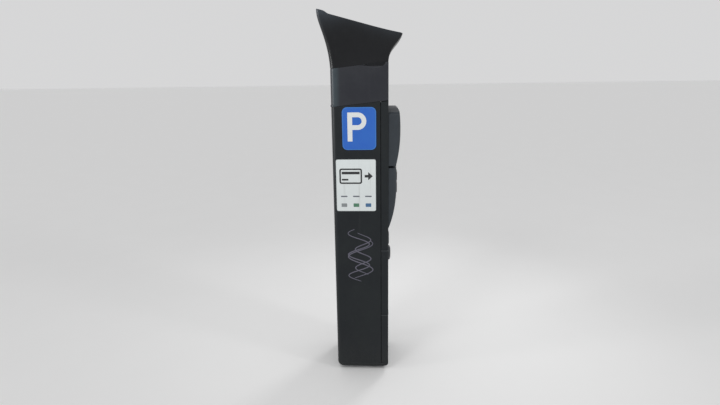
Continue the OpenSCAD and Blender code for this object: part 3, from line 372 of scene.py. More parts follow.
def make_materials():
    """Every finish on the machine, named after the record's slots."""
    coated("shell_paint", (0.0085, 0.0112, 0.0140), (0.0150, 0.0195, 0.0205), 0.44, worn=(0.055, 0.060, 0.064),
           gloss=0.28, streaks=0.22)
    # neck_paint and cowl_moulding: the last colour is a painted highlight, blended in where the collar and cowl
    # meshes carry a share for it.
    coated("neck_paint", (0.0185, 0.0200, 0.0265), (0.0285, 0.0310, 0.0375), 0.40, worn=(0.07, 0.075, 0.08),
           gloss=0.32, streaks=0.3, fade_and_sheen=(0.045, 0.062, 0.072))
    coated("cowl_moulding", (0.0042, 0.0047, 0.0060), (0.0075, 0.0084, 0.0105), 0.36, grain=700.0, depth=0.00009,
           worn=(0.035, 0.040, 0.046), wear=0.4, gloss=0.30, streaks=0.12, fade_and_sheen=(0.050, 0.062, 0.075))
    coated("fascia_moulding", (0.029, 0.036, 0.044), (0.041, 0.050, 0.060), 0.42, grain=1100.0, depth=0.00008,
           worn=(0.10, 0.11, 0.12), wear=0.4, gloss=0.35, streaks=0.3)
    coated("boss_casting", (0.020, 0.024, 0.029), (0.030, 0.035, 0.041), 0.42, worn=(0.16, 0.165, 0.17), wear=0.7,
           gloss=0.35)
    # Pale grey for the door beads: a painted highlight along each lower door's top edge.
    coated("bead_highlight_paint", (0.055, 0.062, 0.068), (0.085, 0.095, 0.100), 0.4, worn=(0.16, 0.17, 0.18), wear=0.7)
    # Near-black: painted shade on the collar's side dishes, and the head plate's own dark colour in the seam under
    # the collar.
    coated("shade_and_seam_moulding", (0.0055, 0.0060, 0.0075), (0.0090, 0.0098, 0.0118), 0.5, worn=(0.03, 0.03, 0.035),
           gloss=0.2, streaks=0.1)
    coated("vault_paint", (0.22, 0.235, 0.25), (0.27, 0.28, 0.29), 0.38, worn=(0.45, 0.45, 0.45), dust=0.1)
    coated("black_moulding", (0.011, 0.0115, 0.0125), (0.018, 0.019, 0.020), 0.42, grain=1500.0, depth=0.00005,
           worn=(0.05, 0.05, 0.055), wear=0.35, dust=0.2)
    coated("seal_rubber", (0.010, 0.010, 0.010), (0.019, 0.019, 0.018), 0.78, grain=500.0, depth=0.00012,
           worn=(0.03, 0.03, 0.03), gloss=0.3)
    coated("battery_case", (0.045, 0.048, 0.052), (0.06, 0.063, 0.067), 0.5, grain=600.0, depth=0.00012)
    coated("chute_plastic", (0.52, 0.53, 0.52), (0.60, 0.60, 0.58), 0.34, grain=1500.0, depth=0.00002,
           worn=(0.7, 0.7, 0.7), wear=0.2, dust=0.1)
    coated("selector_plastic", (0.045, 0.13, 0.155), (0.06, 0.16, 0.18), 0.4, worn=(0.2, 0.3, 0.32), wear=0.3)
    coated("red_key", (0.42, 0.018, 0.018), (0.50, 0.03, 0.028), 0.30, grain=1800.0, depth=0.00003,
           worn=(0.6, 0.12, 0.1), wear=0.5, dust=0.0, streaks=0.1)
    coated("green_key", (0.015, 0.25, 0.055), (0.025, 0.31, 0.07), 0.30, grain=1800.0, depth=0.00003,
           worn=(0.12, 0.45, 0.18), wear=0.5, dust=0.0, streaks=0.1)
    coated("grey_key", (0.30, 0.31, 0.32), (0.36, 0.37, 0.37), 0.32, grain=1800.0, depth=0.00003,
           worn=(0.5, 0.5, 0.5), wear=0.5, dust=0.0, streaks=0.1)
    coated("lever_green", (0.03, 0.34, 0.07), (0.05, 0.40, 0.09), 0.32, grain=1800.0, depth=0.00003,
           worn=(0.3, 0.6, 0.3), wear=0.3, dust=0.0)
    metal("zinc_steel", (0.50, 0.51, 0.52), (0.36, 0.37, 0.38), 0.34, along=(1.0, 1.0, 1.0), scale=160.0)
    metal("bright_steel", (0.60, 0.60, 0.59), (0.45, 0.45, 0.44), 0.24, along=(0.03, 1.0, 1.0))
    metal("polished_steel", (0.72, 0.72, 0.73), (0.55, 0.55, 0.56), 0.14, along=(1.0, 0.03, 1.0), depth=0.00001)
    metal("alloy_case", (0.58, 0.59, 0.60), (0.44, 0.45, 0.46), 0.36, along=(1.0, 1.0, 0.03))
    metal("brass_part", (0.62, 0.43, 0.17), (0.42, 0.29, 0.12), 0.28, along=(0.03, 1.0, 1.0))
    clear("window_glass", (0.90, 0.94, 0.95), 0.02, 0.10)
    clear("flap_clear", (0.86, 0.91, 0.92), 0.05, 0.30)
    printed("sign_blue", (0.006, 0.105, 0.50), (0.012, 0.130, 0.52), 0.34)
    printed("sign_edge", (0.030, 0.19, 0.52), (0.05, 0.22, 0.54), 0.36)
    printed("sticker_edge", (0.50, 0.54, 0.55), (0.42, 0.45, 0.46), 0.4, coat=0.2)
    printed("sign_white", (0.74, 0.76, 0.76), (0.68, 0.70, 0.69), 0.36, dirt=0.6)
    printed("sticker_white", (0.72, 0.765, 0.765), (0.655, 0.70, 0.70), 0.38, coat=0.2, dirt=0.5)
    printed("ink_black", (0.014, 0.016, 0.018), (0.024, 0.026, 0.028), 0.42, coat=0.1, dirt=0.2)
    printed("ink_green", (0.07, 0.20, 0.12), (0.10, 0.24, 0.15), 0.42, coat=0.1)
    printed("ink_blue", (0.05, 0.14, 0.28), (0.08, 0.17, 0.31), 0.42, coat=0.1)
    printed("ink_soft", (0.09, 0.10, 0.13), (0.14, 0.15, 0.18), 0.42, coat=0.1)
    printed("ink_grey", (0.22, 0.24, 0.25), (0.27, 0.29, 0.30), 0.42, coat=0.1)
    printed("marker_ink", (0.125, 0.120, 0.160), (0.070, 0.070, 0.098), 0.5, coat=0.0, dirt=0.0)
    printed("display_glass", (0.010, 0.011, 0.012), (0.014, 0.015, 0.016), 0.12, coat=1.0, dirt=0.1)
    printed("display_panel", (0.21, 0.27, 0.20), (0.235, 0.295, 0.225), 0.3, coat=0.6, dirt=0.0)
    printed("solar_glass", (0.010, 0.013, 0.020), (0.014, 0.017, 0.024), 0.14, coat=1.0, dirt=0.4)
    glowing("lamp_green", (0.05, 0.8, 0.2), 1.5)
    glowing("lamp_blue", (0.1, 0.35, 0.95), 1.2)
    solar_cell_material()
    low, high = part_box("paper_roll")
    paper_material((0.0, (low.y + high.y) / 2, (low.z + high.z) / 2))


# ---------- making pieces ----------


def carry(mesh, name, values):
    """Gives the mesh a number at each of its points, for its material."""
    layer = mesh.attributes.new(name, "FLOAT", "POINT")
    layer.data.foreach_set("value", np.ascontiguousarray(values, dtype=np.float32).ravel())


def linked(name, mesh):
    """A new object at the origin that holds the mesh."""
    piece = bpy.data.objects.new(name, mesh)
    bpy.context.scene.collection.objects.link(piece)
    return piece


def settled(piece, body, slot, material=None, replaced=(), crease=38.0):
    """Shades the piece smooth up to the crease angle, attaches it to its body and gives it a material: the one
    named, or else the one named after its slot.
    """
    mesh = piece.data
    mesh.materials.clear()
    mesh.materials.append(MATERIALS[material or slot])
    mesh.shade_smooth()
    mesh.set_sharp_from_angle(angle=math.radians(crease))
    weigh = piece.modifiers.new("even shading", "WEIGHTED_NORMAL")
    weigh.keep_sharp = True
    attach(piece, body)
    if replaced:
        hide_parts(*replaced)
    return piece


def softened(node, width, segments=2, material=None, sharp=34.0):
    """The node's own shape with its doubles merged, its flat faces joined and its sharp edges rounded."""
    mesh = frame["nodes"][node].data.copy()
    mesh.name = node + "_finished"
    shape = bmesh.new()
    shape.from_mesh(mesh)
    bmesh.ops.remove_doubles(shape, verts=shape.verts, dist=2e-6)
    bmesh.ops.dissolve_limit(shape, angle_limit=math.radians(0.4), verts=shape.verts, edges=shape.edges)
    edge_layer = shape.faces.layers.float.new("rounded_edge")
    corners = [e for e in shape.edges if e.is_manifold and e.calc_face_angle(0.0) > math.radians(sharp)]
    if width > 0 and corners:
        made = bmesh.ops.bevel(shape, geom=corners, offset=width, offset_type="OFFSET", segments=segments,
                               profile=0.5, affect="EDGES", clamp_overlap=True, loop_slide=True)
        for face in made["faces"]:
            face[edge_layer] = 1.0
    for layer in list(shape.loops.layers.uv.values()):
        shape.loops.layers.uv.remove(layer)
    shape.to_mesh(mesh)
    shape.free()
    slot = SLOT_OF[node]
    return settled(linked(node + "_finished", mesh), BODY_OF[node], slot, material, (node,))


def surface(name, points, closed_round=True, closed_along=False, cap=False):
    """A mesh from a grid of points: rows run along the piece and columns round it."""
    rows, columns = points.shape[:2]
    index = np.arange(rows * columns).reshape(rows, columns)
    right = np.roll(index, -1, axis=1) if closed_round else index[:, 1:]
    here = index if closed_round else index[:, :-1]
    if closed_along:
        quads = np.stack([here, right, np.roll(right, -1, axis=0), np.roll(here, -1, axis=0)], axis=-1)
    else:
        quads = np.stack([here[:-1], right[:-1], right[1:], here[1:]], axis=-1)
    faces = quads.reshape(-1, 4).tolist()
    if cap:
        faces += [index[0][::-1].tolist(), index[-1].tolist()]
    mesh = bpy.data.meshes.new(name)
    mesh.from_pydata(points.reshape(-1, 3).tolist(), [], faces)
    return outward(mesh)


def outward(mesh):
    """Turns a closed mesh's faces outwards."""
    shape = bmesh.new()
    shape.from_mesh(mesh)
    bmesh.ops.recalc_face_normals(shape, faces=shape.faces)
    if shape.calc_volume(signed=True) < 0:
        bmesh.ops.reverse_faces(shape, faces=shape.faces)
    shape.to_mesh(mesh)
    shape.free()
    return mesh


def headings(path):
    """Unit directions along a path of points."""
    heading = np.gradient(path, axis=0)
    return heading / np.linalg.norm(heading, axis=1)[:, None]


def arc(centre_x, centre_y, radius, start, end, count=12):
    """Points along a circle's arc, angles in degrees."""
    angle = np.radians(np.linspace(start, end, count))
    return np.stack([centre_x + radius * np.cos(angle), centre_y + radius * np.sin(angle)], axis=1)


def rounded_box(width, height, radius, count=10):
    """Outline of a rectangle with round corners, centred on zero."""
    x, y = width / 2 - radius, height / 2 - radius
    return np.concatenate([arc(x, y, radius, 0, 90, count), arc(-x, y, radius, 90, 180, count),
                           arc(-x, -y, radius, 180, 270, count), arc(x, -y, radius, 270, 360, count)])


def bar(length, width, angle=0.0, centre=(0.0, 0.0)):
    """Outline of a straight stroke with round ends, turned by an angle in degrees about its centre."""
    loop = rounded_box(length, width, width / 2 * 0.98, 7)
    c, s = math.cos(math.radians(angle)), math.sin(math.radians(angle))
    return loop @ np.array([[c, s], [-s, c]]) + np.array(centre)


def moved(loop, x, y):
    return np.asarray(loop) + np.array([x, y])


def sheet_of(name, loops, thickness, origin, right, up):
    """Closed loops in millimetres, filled in turn so that inner loops are holes, and raised by a thickness.
    The flat is laid with its corner of coordinates at origin, x along right and y along up, rising outwards."""
    curve = bpy.data.curves.new(name, "CURVE")
    curve.dimensions = "2D"
    curve.fill_mode = "BOTH"
    curve.extrude = thickness / 2
    for loop in loops:
        spline = curve.splines.new("POLY")
        spline.points.add(len(loop) - 1)
        flat = np.zeros((len(loop), 4))
        flat[:, :2] = loop
        flat[:, 3] = 1.0
        spline.points.foreach_set("co", flat.ravel())
        spline.use_cyclic_u = True
    holder = linked(name + "_outline", curve)
    bpy.context.view_layer.update()
    mesh = bpy.data.meshes.new_from_object(holder.evaluated_get(bpy.context.evaluated_depsgraph_get()))
    bpy.data.objects.remove(holder)
    bpy.data.curves.remove(curve)
    mesh.name = name
    right, up = Vector(right).normalized(), Vector(up).normalized()
    out = right.cross(up)
    turn = Matrix((right, up, out)).transposed().to_4x4()
    mesh.transform(Matrix.Translation(Vector((0, 0, thickness / 2))))
    mesh.transform(Matrix.Translation(Vector(origin)) @ turn @ Matrix.Scale(MM, 4))
    shape = bmesh.new()
    shape.from_mesh(mesh)
    bmesh.ops.remove_doubles(shape, verts=shape.verts, dist=1e-6)
    shape.to_mesh(mesh)
    shape.free()
    return outward(mesh)


def lathe(profile, axis_point, axis, count=40):
    """A profile of (radius, distance along the axis) in millimetres, turned about an axis, closed at its ends."""
    along = Vector(axis).normalized()
    side = along.orthogonal().normalized()
    other = along.cross(side)
    turn = np.linspace(0, 2 * math.pi, count, endpoint=False)
    radius, height = np.array(profile).T * MM
    ring = np.cos(turn)[:, None] * np.array(side) + np.sin(turn)[:, None] * np.array(other)
    points = np.array(axis_point) + radius[:, None, None] * ring[None] + height[:, None, None] * np.array(along)
    return points


def joined(name, meshes):
    """Several closed meshes as one mesh."""
    shape = bmesh.new()
    for mesh in meshes:
        shape.from_mesh(mesh)
        bpy.data.meshes.remove(mesh)
    whole = bpy.data.meshes.new(name)
    shape.to_mesh(whole)
    shape.free()
    return whole


# ---------- column, doors and works: the frame's shapes with rounded edges ----------

# Width of the rounding in millimetres on each node's sharp edges, and how many steps it takes
ROUNDING = {
    "base_plate": (1.0, 2), "plinth": (1.5, 3), "main_housing": (0.8, 2), "head_plate": (0.3, 1),
    "solar_frame": (1.0, 2), "door_crossbars": (0.7, 2), "vault_enclosure": (1.2, 2), "coin_box": (0.6, 2),
    "coin_box_lid": (1.0, 2), "coin_box_shutter": (0.5, 2), "coin_funnel": (0.5, 2), "battery": (2.5, 3),
    "battery_shelf": (0.6, 2), "control_unit": (0.8, 2), "antenna": (2.0, 3), "printer_frame": (0.6, 2),
    "print_head": (0.6, 2), "paper_spindle": (1.0, 2), "platen_roller": (0.6, 2), "cutter_blade": (0.2, 1),
    "head_lever": (0.8, 2), "hinge_knuckles": (0.5, 2), "hinge_pins": (0.8, 3), "door_seals": (1.0, 3),
    "parking_sign": (0.3, 2), "payment_sticker": (0.2, 1), "upper_door": (1.1, 3), "vault_door": (1.1, 3),
    "base_door": (1.1, 3), "display_fascia": (1.3, 3), "payment_fascia": (1.3, 3), "button_plate": (0.5, 2),
    "card_reader_mouth": (1.2, 3), "card_reader": (0.8, 2), "contactless_reader": (1.4, 3),
    "coin_slot_plate": (0.9, 3), "coin_shutter": (0.3, 2), "coin_selector": (1.0, 2), "coin_chute": (0.5, 2),
    "ticket_cup": (0.7, 2), "ticket_flap": (0.7, 3), "flap_pin": (0.4, 2), "upper_lock_boss": (1.3, 3),
    "vault_lock_boss": (1.3, 3), "upper_lock": (0.5, 2), "vault_lock": (0.5, 2), "base_lock": (0.5, 2),
    "coin_return_button": (1.2, 3),
}


def make_rounded_nodes():
    for node, (width, steps) in ROUNDING.items():
        softened(node, width * MM, steps, "shade_and_seam_moulding" if node == "head_plate" else None)


def make_door_beads():
    """A half-round bead along the upper edge of each lower door's left flange, and round its corner.
    The bead's section is half a circle that starts and ends inside the door's skin."""
    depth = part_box("vault_door")[1].y - FRONT_Y
    for door in ("vault_door", "base_door"):
        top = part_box(door)[1].z - 1.5 * MM
        along = np.linspace(FRONT_Y + depth - 5 * MM, FRONT_Y + 7 * MM, 14)
        corner = arc(-HALF_W + 7 * MM, FRONT_Y + 7 * MM, 7 * MM, 180, 262, 12)
        path = np.concatenate([np.stack([np.full(14, -HALF_W), along], axis=1), corner])
        heading = headings(path)
        out = np.stack([heading[:, 1], -heading[:, 0]], axis=1)
        rows = []
        for angle in np.radians(np.linspace(-100, 100, 11)):
            side = path + out * (0.75 * MM * math.cos(angle))
            rows.append(np.column_stack([side, np.full(len(path), top + 1.25 * MM * math.sin(angle))]))
        bead = surface(door + "_bead", np.array(rows).transpose(1, 0, 2), cap=True)
        # The bead's pale paint is a painted highlight along the door's top edge.
        settled(linked(door + "_bead", bead), door, "boss_casting", "bead_highlight_paint")


# ---------- collar and cowl ----------

ARC_STEPS = 14
SIDE_STEPS = 60


def plan_ring(half_x, front, rear, front_radius, rear_radius):
    """A rectangle in plan with round corners, anticlockwise from the front right corner.
    Each corner is an arc and each straight stretch is cut into equal steps, so rings of any size match."""
    corners = [arc(half_x - front_radius, front + front_radius, front_radius, -90, 0, ARC_STEPS),
               arc(half_x - rear_radius, rear - rear_radius, rear_radius, 0, 90, ARC_STEPS),
               arc(-half_x + rear_radius, rear - rear_radius, rear_radius, 90, 180, ARC_STEPS),
               arc(-half_x + front_radius, front + front_radius, front_radius, 180, 270, ARC_STEPS)]
    ring = []
    for corner, following in zip(corners, corners[1:] + corners[:1]):
        share = np.linspace(0, 1, SIDE_STEPS, endpoint=False)[1:, None]
        ring += [corner, corner[-1] * (1 - share) + following[0] * share]
    return np.concatenate(ring)


CORNER_FRONT = 7 * MM
CORNER_REAR = 24 * MM
COLLAR_TOP = COWL_LOW.z + REAR_Y * SEAM_SLOPE
COLLAR_FOOT = NECK_LOW.z + (REAR_Y + 2.5 * MM) * SEAM_SLOPE
COWL_WALL = 4 * MM
RISE_FRONT = 105.5 * MM
RISE_REAR = 233.5 * MM


def make_collar():
    """The painted collar under the cowl, as one closed shell.
    Each row is the column's outline moved in by an inset, at a height that slopes with the seams. On each side a
    shallow dish sinks by 2.2 mm times the smooth step of its depth inside a circle that the top seam cuts off, and
    the foot steps out at the back."""
    rise = COLLAR_TOP - COLLAR_FOOT
    walls = np.linspace(1.2 * MM, rise - 2.9 * MM, 90)
    rows = [(0.9, 0.0), (0.25, 0.3 * MM)] + [(0.0, level) for level in walls]
    rows += [(0.35, rise - 2.0 * MM), (1.1, rise - 1.5 * MM), (2.0, rise - 1.5 * MM), (2.0, rise - 0.1 * MM),
             (8.0, rise - 0.1 * MM), (8.0, 2 * MM), (4.2, 2 * MM), (4.2, 0.0)]
    points = []
    for inset, level in rows:
        inset *= MM
        ring = plan_ring(HALF_W - inset, FRONT_Y + inset, REAR_Y - inset, max(CORNER_FRONT - inset, MM),
                         max(CORNER_REAR - inset, MM))
        height = COLLAR_FOOT + level - ring[:, 1] * SEAM_SLOPE
        if inset < 1 * MM:
            lip = 2.5 * MM * np.clip((10.0 * MM - level) / (1.5 * MM), 0, 1)
            ring[:, 1] += lip * np.clip((ring[:, 1] - 60 * MM) / (50 * MM), 0, 1)
            reach = np.hypot(ring[:, 1] + 66 * MM, height - COLLAR_TOP - 66 * MM)
            share = np.clip((82 * MM - reach) / (9 * MM), 0, 1)
            sunk = 2.2 * MM * share * share * (3 - 2 * share)
            ring[:, 0] -= np.sign(ring[:, 0]) * sunk * (np.abs(ring[:, 0]) > HALF_W - 2 * MM)
        points.append(np.column_stack([ring, height]))
    points = np.array(points)
    mesh = surface("collar", points, closed_along=True)
    # Painted highlight: a paler upright band on each rear corner of the collar, where the rounding catches the
    # light.
    from_rear = REAR_Y - points[:, :, 1]
    corner = step_up(from_rear, 4 * MM, 14 * MM) * (1 - step_up(from_rear, 24 * MM, 46 * MM))
    carry(mesh, "fade_and_sheen", 0.85 * corner * (np.abs(points[:, :, 0]) > HALF_W - 24 * MM))
    settled(linked("collar", mesh), "column", "neck_paint", None, ("neck_casing",), crease=30.0)
    # Painted shade: a near-black sheet laid in each side's dish, standing in for the shadow under the cowl's front
    # edge.
    turn = np.radians(np.linspace(0, 360, 97)[:-1])
    dish = np.stack([12 + 56 * np.cos(turn), 22.5 * np.sin(turn)], axis=1)
    dish[:, 1] = np.minimum(dish[:, 1], -1.5)
    dish[:, 1] += dish[:, 0] * SEAM_SLOPE
    for side, name in ((-1, "left"), (1, "right")):
        flat = dish if side < 0 else dish[::-1] * np.array([-1.0, 1.0])
        spot = (side * (HALF_W - 0.5 * MM), -46 * MM, COLLAR_TOP + 46 * MM * SEAM_SLOPE - 1.5 * MM)
        mesh = sheet_of("collar_shade_sheet_" + name, [flat], 0.7, spot, (0, side, 0), (0, 0, 1))
        settled(linked("collar_shade_sheet_" + name, mesh), "column", "neck_paint", "shade_and_seam_moulding")


def ease(share, first, second):
    """A share from 0 to 1 on a cubic Bezier curve, whose two middle points are first and second."""
    rest = 1 - share
    return 3 * rest * rest * share * first + 3 * rest * share * share * second + share ** 3


def step_up(value, low, high):
    """A smooth step from 0 to 1 as value goes from low to high."""
    share = np.clip((value - low) / (high - low), 0, 1)
    return share * share * (3 - 2 * share)


def cowl_row(share, inset, lift=0.0, rise=0.0):
    """One ring of the cowl at a share of its height, from the collar at 0 to the rim at 1.
    Half width, front, rear and both heights run from the collar's values to the rim's on cubic Bezier curves,
    so the back rises nearly upright to the rim and the front hollows out under a thin edge. The ring lies in a
    plane between those heights. By its share of rise the two front corners curl up and the back edge stands up
    as a level heel."""
    half_x = HALF_W + (COWL_HIGH.x - HALF_W) * ease(share, 0.12, 0.9)
    front = FRONT_Y + (COWL_LOW.y - FRONT_Y) * ease(share, 0.02, 0.72)
    rear = REAR_Y + (COWL_HIGH.y - REAR_Y) * ease(share, 0.14, 1.04)
    low = COLLAR_TOP - FRONT_Y * SEAM_SLOPE + RISE_FRONT * ease(share, 0.5, 0.7)
    high = COLLAR_TOP - REAR_Y * SEAM_SLOPE + RISE_REAR * ease(share, 0.55, 0.8)
    ring = plan_ring(half_x - inset, front + inset, rear - inset,
                     max((7 + 5 * share) * MM - inset, 2 * MM), max((24 - 10 * share) * MM - inset, 2 * MM))
    across = np.abs(ring[:, 0]) / (half_x - inset)
    along = np.clip((front + rear) / 2 - ring[:, 1], 0, None) / ((rear - front) / 2 - inset)
    raised = 5 * MM * (across * along) ** 3 + 7 * MM * step_up(ring[:, 1], rear - 52 * MM, rear - 30 * MM)
    height = low + (high - low) * (ring[:, 1] - front) / (rear - front) + lift + rise * raised
    return np.column_stack([ring, height])


def make_cowl():
    """The cowl as one closed shell: outside, crowned rim, ledge for the solar panel, and inside.
    The rim's section is half an ellipse from the outside over to the inside, and the corners curl up towards it
    with the eighth power of the height's share."""
    wall, crown = 6 * MM, 1.5 * MM
    shares = np.linspace(0, 1, 73)
    rows = [cowl_row(0, 1.0 * MM, 0.0), cowl_row(0, 0.3 * MM, 0.25 * MM)]
    rows += [cowl_row(share, 0.0, 1.0 * MM * (1 - share) ** 8, share ** 8) for share in shares]
    for angle in np.radians(np.linspace(0, 180, 15))[1:]:
        rows.append(cowl_row(1, wall / 2 * (1 - math.cos(angle)), crown * math.sin(angle), 1.0))
    rows += [cowl_row(1, wall, -1 * MM, 0.7), cowl_row(1, wall, -6 * MM), cowl_row(1, 15 * MM, -6 * MM),
             cowl_row(1, 15 * MM, -9 * MM)]
    rows += [cowl_row(share, COWL_WALL) for share in np.linspace(0.86, 0.04, 24)]
    rows += [cowl_row(0, COWL_WALL)]
    rows = np.array(rows)
    mesh = surface("cowl", rows, closed_along=True)
    share = np.zeros(len(rows))
    share[2:2 + len(shares)] = shares
    share[2 + len(shares):2 + len(shares) + 16] = 1.0
    # Painted highlight: a paler band towards the rim, strongest towards the back, for the light that the rolled rim
    # catches.
    back = step_up(rows[:, :, 1], 30 * MM, 175 * MM)
    sheen_share = 0.30 * share[:, None] ** 5 + 0.75 * share[:, None] ** 4 * back
    carry(mesh, "fade_and_sheen", np.clip(sheen_share, 0, 1))
    settled(linked("cowl", mesh), "column", "cowl_moulding", None, ("solar_cowl",), crease=40.0)


def make_solar_panel():
    """Glass over rows of dark cells with cut corners, two bright ribbons across each, all in the panel's plane."""
    low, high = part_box("solar_laminate")
    slope = (high.z - low.z - 4 * MM) / (high.y - low.y)
    tilt = math.atan(slope)
    up = (0.0, math.cos(tilt), math.sin(tilt))
    softened("solar_laminate", 0.3 * MM, 1)
    across, along = 4, 4
    width, length = (high.x - low.x) / MM - 14, (high.y - low.y) / MM / math.cos(tilt) - 14
    pitch_x, pitch_y = width / across, length / along
    start = Vector((low.x, low.y, low.z + 4 * MM)) + Vector((0, -math.sin(tilt), math.cos(tilt))) * 0.05 * MM
    cut = 9.0
    w, h = pitch_x - 3, pitch_y - 3
    cell = np.array([(cut, 0), (w - cut, 0), (w, cut), (w, h - cut), (w - cut, h), (cut, h), (0, h - cut), (0, cut)])
    cells, ribbons = [], []
    for column in range(across):
        for row in range(along):
            cells.append(moved(cell, 7 + column * pitch_x + 1.5, 7 + row * pitch_y + 1.5))
        for third in (1, 2):
            x = 7 + (column + third / 3) * pitch_x
            ribbons.append(moved(rounded_box(1.6, length - 8, 0.4, 2), x, 7 + length / 2))
    mesh = sheet_of("solar_cells", cells, 0.15, start, (1, 0, 0), up)
    settled(linked("solar_cells", mesh), "column", "solar_glass", "solar_cell")
    top = start + Vector((0, -math.sin(tilt), math.cos(tilt))) * 0.15 * MM
    mesh = sheet_of("solar_ribbons", ribbons, 0.1, top, (1, 0, 0), up)
    settled(linked("solar_ribbons", mesh), "column", "bright_steel")


def make_louvre_hoods():
    """Pressed hoods over the vent slots at the back.
    Across the width each hood is a flat-topped bump, one minus the fourth power of the share from its middle, and
    down its height it swells on a quarter sine to an open lower edge."""
    slot_w, slot_h, pitch, count = 120 * MM, 5 * MM, 14 * MM, 6
    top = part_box("control_unit")[1].z + 26 * MM
    hoods = []
    u = np.linspace(-1, 1, 49)[None, :]
    v = np.linspace(0, 1, 13)[:, None]
    for number in range(count):
        base = top - 150 * MM + number * pitch
        bump = (1 - np.abs(u) ** 4) * np.sin(v * math.pi / 2)
        shells = []
        for depth in (4.6 * MM, 3.6 * MM):
            x = u * (slot_w / 2 + 4 * MM) + 0 * v
            z = base + slot_h + 3 * MM - v * (slot_h + 4 * MM) + 0 * u
            y = REAR_Y - 0.3 * MM + depth * bump
            shells.append(np.stack([x, y, z], axis=-1))
        outer, inner = shells
        inner[:, :, 2] -= 0.4 * MM
        ring = np.concatenate([outer, inner[::-1]], axis=0)
        hoods.append(surface("hood", ring.transpose(1, 0, 2), cap=True))
    settled(linked("louvre_hoods", joined("louvre_hoods", hoods)), "column", "shell_paint", crease=50.0)


def make_solar_lead():
    """The panel's lead: a round tube on one smooth S, and the junction box that it leaves."""
    softened("solar_cable", 0.8 * MM, 2, sharp=50.0)


# ---------- signs on the left-hand side ----------

LEFT = ((0, -1, 0), (0, 0, 1))


def side_plate(name, node, loops, thickness, lift, slot, material=None):
    """Flat shapes, in millimetres from the middle of a node, laid on that node's left-hand face."""
    low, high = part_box(node)
    middle = Vector((low.x - lift * MM, (low.y + high.y) / 2, (low.z + high.z) / 2))
    mesh = sheet_of(name, loops, thickness, middle, *LEFT)
    return settled(linked(name, mesh), "column", slot, material)


def band(outer, width, radius, inset):
    """Two rounded rectangles, one inside the other, that leave a thin frame between them."""
    w, h = outer
    return [rounded_box(w - 2 * inset, h - 2 * inset, radius - inset),
            rounded_box(w - 2 * inset - 2 * width, h - 2 * inset - 2 * width, radius - inset - width)]


def make_parking_sign():
    """A generic parking letter: a straight stem, and a bowl of two half rings joined by straight arms."""
    side_plate("sign_border", "parking_sign", band((152, 190), 2.2, 22, 1.2), 0.08, 0.0, "sign_blue", "sign_edge")
    stem, bowl, height = 21.5, 38.5, 128.5
    low_x, top = -52.0, 72.0
    right_x = -6.0
    waist = top - 2 * bowl
    outer = np.concatenate([[(low_x, top - height), (low_x + stem, top - height), (low_x + stem, waist)],
                            arc(right_x, top - bowl, bowl, -90, 90, 28), [(low_x, top)]])
    hole_r = bowl - 21
    hole = np.concatenate([[(low_x + stem, top - bowl - hole_r)], arc(right_x, top - bowl, hole_r, -90, 90, 24),
                           [(low_x + stem, top - bowl + hole_r)]])
    side_plate("sign_letter", "parking_sign", [outer, hole], 0.12, 0.0, "sticker_white", "sign_white")


def make_payment_sticker():
    """Plain shapes only: a bank card's outline with its stripe, an arrow to the front, and three bars over
    three plain cards."""
    face = dict(thickness=0.08, lift=0.0, slot="sticker_white")
    side_plate("sticker_border", "payment_sticker", band((182, 243), 0.9, 8, 0.6), material="sticker_edge", **face)
    card_x, card_z = -24, 44
    card = [moved(rounded_box(104, 72, 10), card_x, card_z), moved(rounded_box(90, 58, 4), card_x, card_z),
            moved(rounded_box(82, 12, 1), card_x, card_z + 15),
            moved(rounded_box(30, 8, 2), card_x - 26, card_z - 16)]
    side_plate("sticker_card", "payment_sticker", card, material="ink_black", **face)
    arrow = np.array([(0, 6), (16, 6), (16, 19), (37, 0), (16, -19), (16, -6), (0, -6)]) + (40, card_z)
    side_plate("sticker_arrow", "payment_sticker", [arrow], material="ink_black", **face)
    columns = (-56, 0, 56)
    words = [moved(rounded_box(30, 6, 1.6), x, -51) for x in columns]
    side_plate("sticker_words", "payment_sticker", words, material="ink_soft", **face)
    for x, name in zip(columns, ("grey", "green", "blue")):
        side_plate("sticker_card_" + name, "payment_sticker", [moved(rounded_box(26, 17, 2), x, -93)],
                   material="ink_" + name, **face)


def pen_line(spots, width):
    """A ribbon's outline along a smooth line through a few spots, in millimetres.
    Between two spots the line is a Catmull-Rom cubic, and its width swells on a half sine from thin ends."""
    spots = np.array(spots, float)
    ends = np.vstack([2 * spots[0] - spots[1], spots, 2 * spots[-1] - spots[-2]])
    t = np.linspace(0, 1, 16, endpoint=False)[:, None]
    parts = []
    for a, b, c, d in zip(ends[:-3], ends[1:-2], ends[2:-1], ends[3:]):
        parts.append(0.5 * (2 * b + (c - a) * t + (2 * a - 5 * b + 4 * c - d) * t ** 2
                            + (3 * b - a - 3 * c + d) * t ** 3))
    line = np.vstack(parts + [spots[-1:]])
    tangent = headings(line)
    share = np.linspace(0, 1, len(line))
    half = (width / 2 * (0.45 + 0.55 * np.sin(math.pi * share) ** 0.5))[:, None]
    normal = np.stack([-tangent[:, 1], tangent[:, 0]], axis=1)
    return np.concatenate([line + half * normal, (line - half * normal)[::-1]])


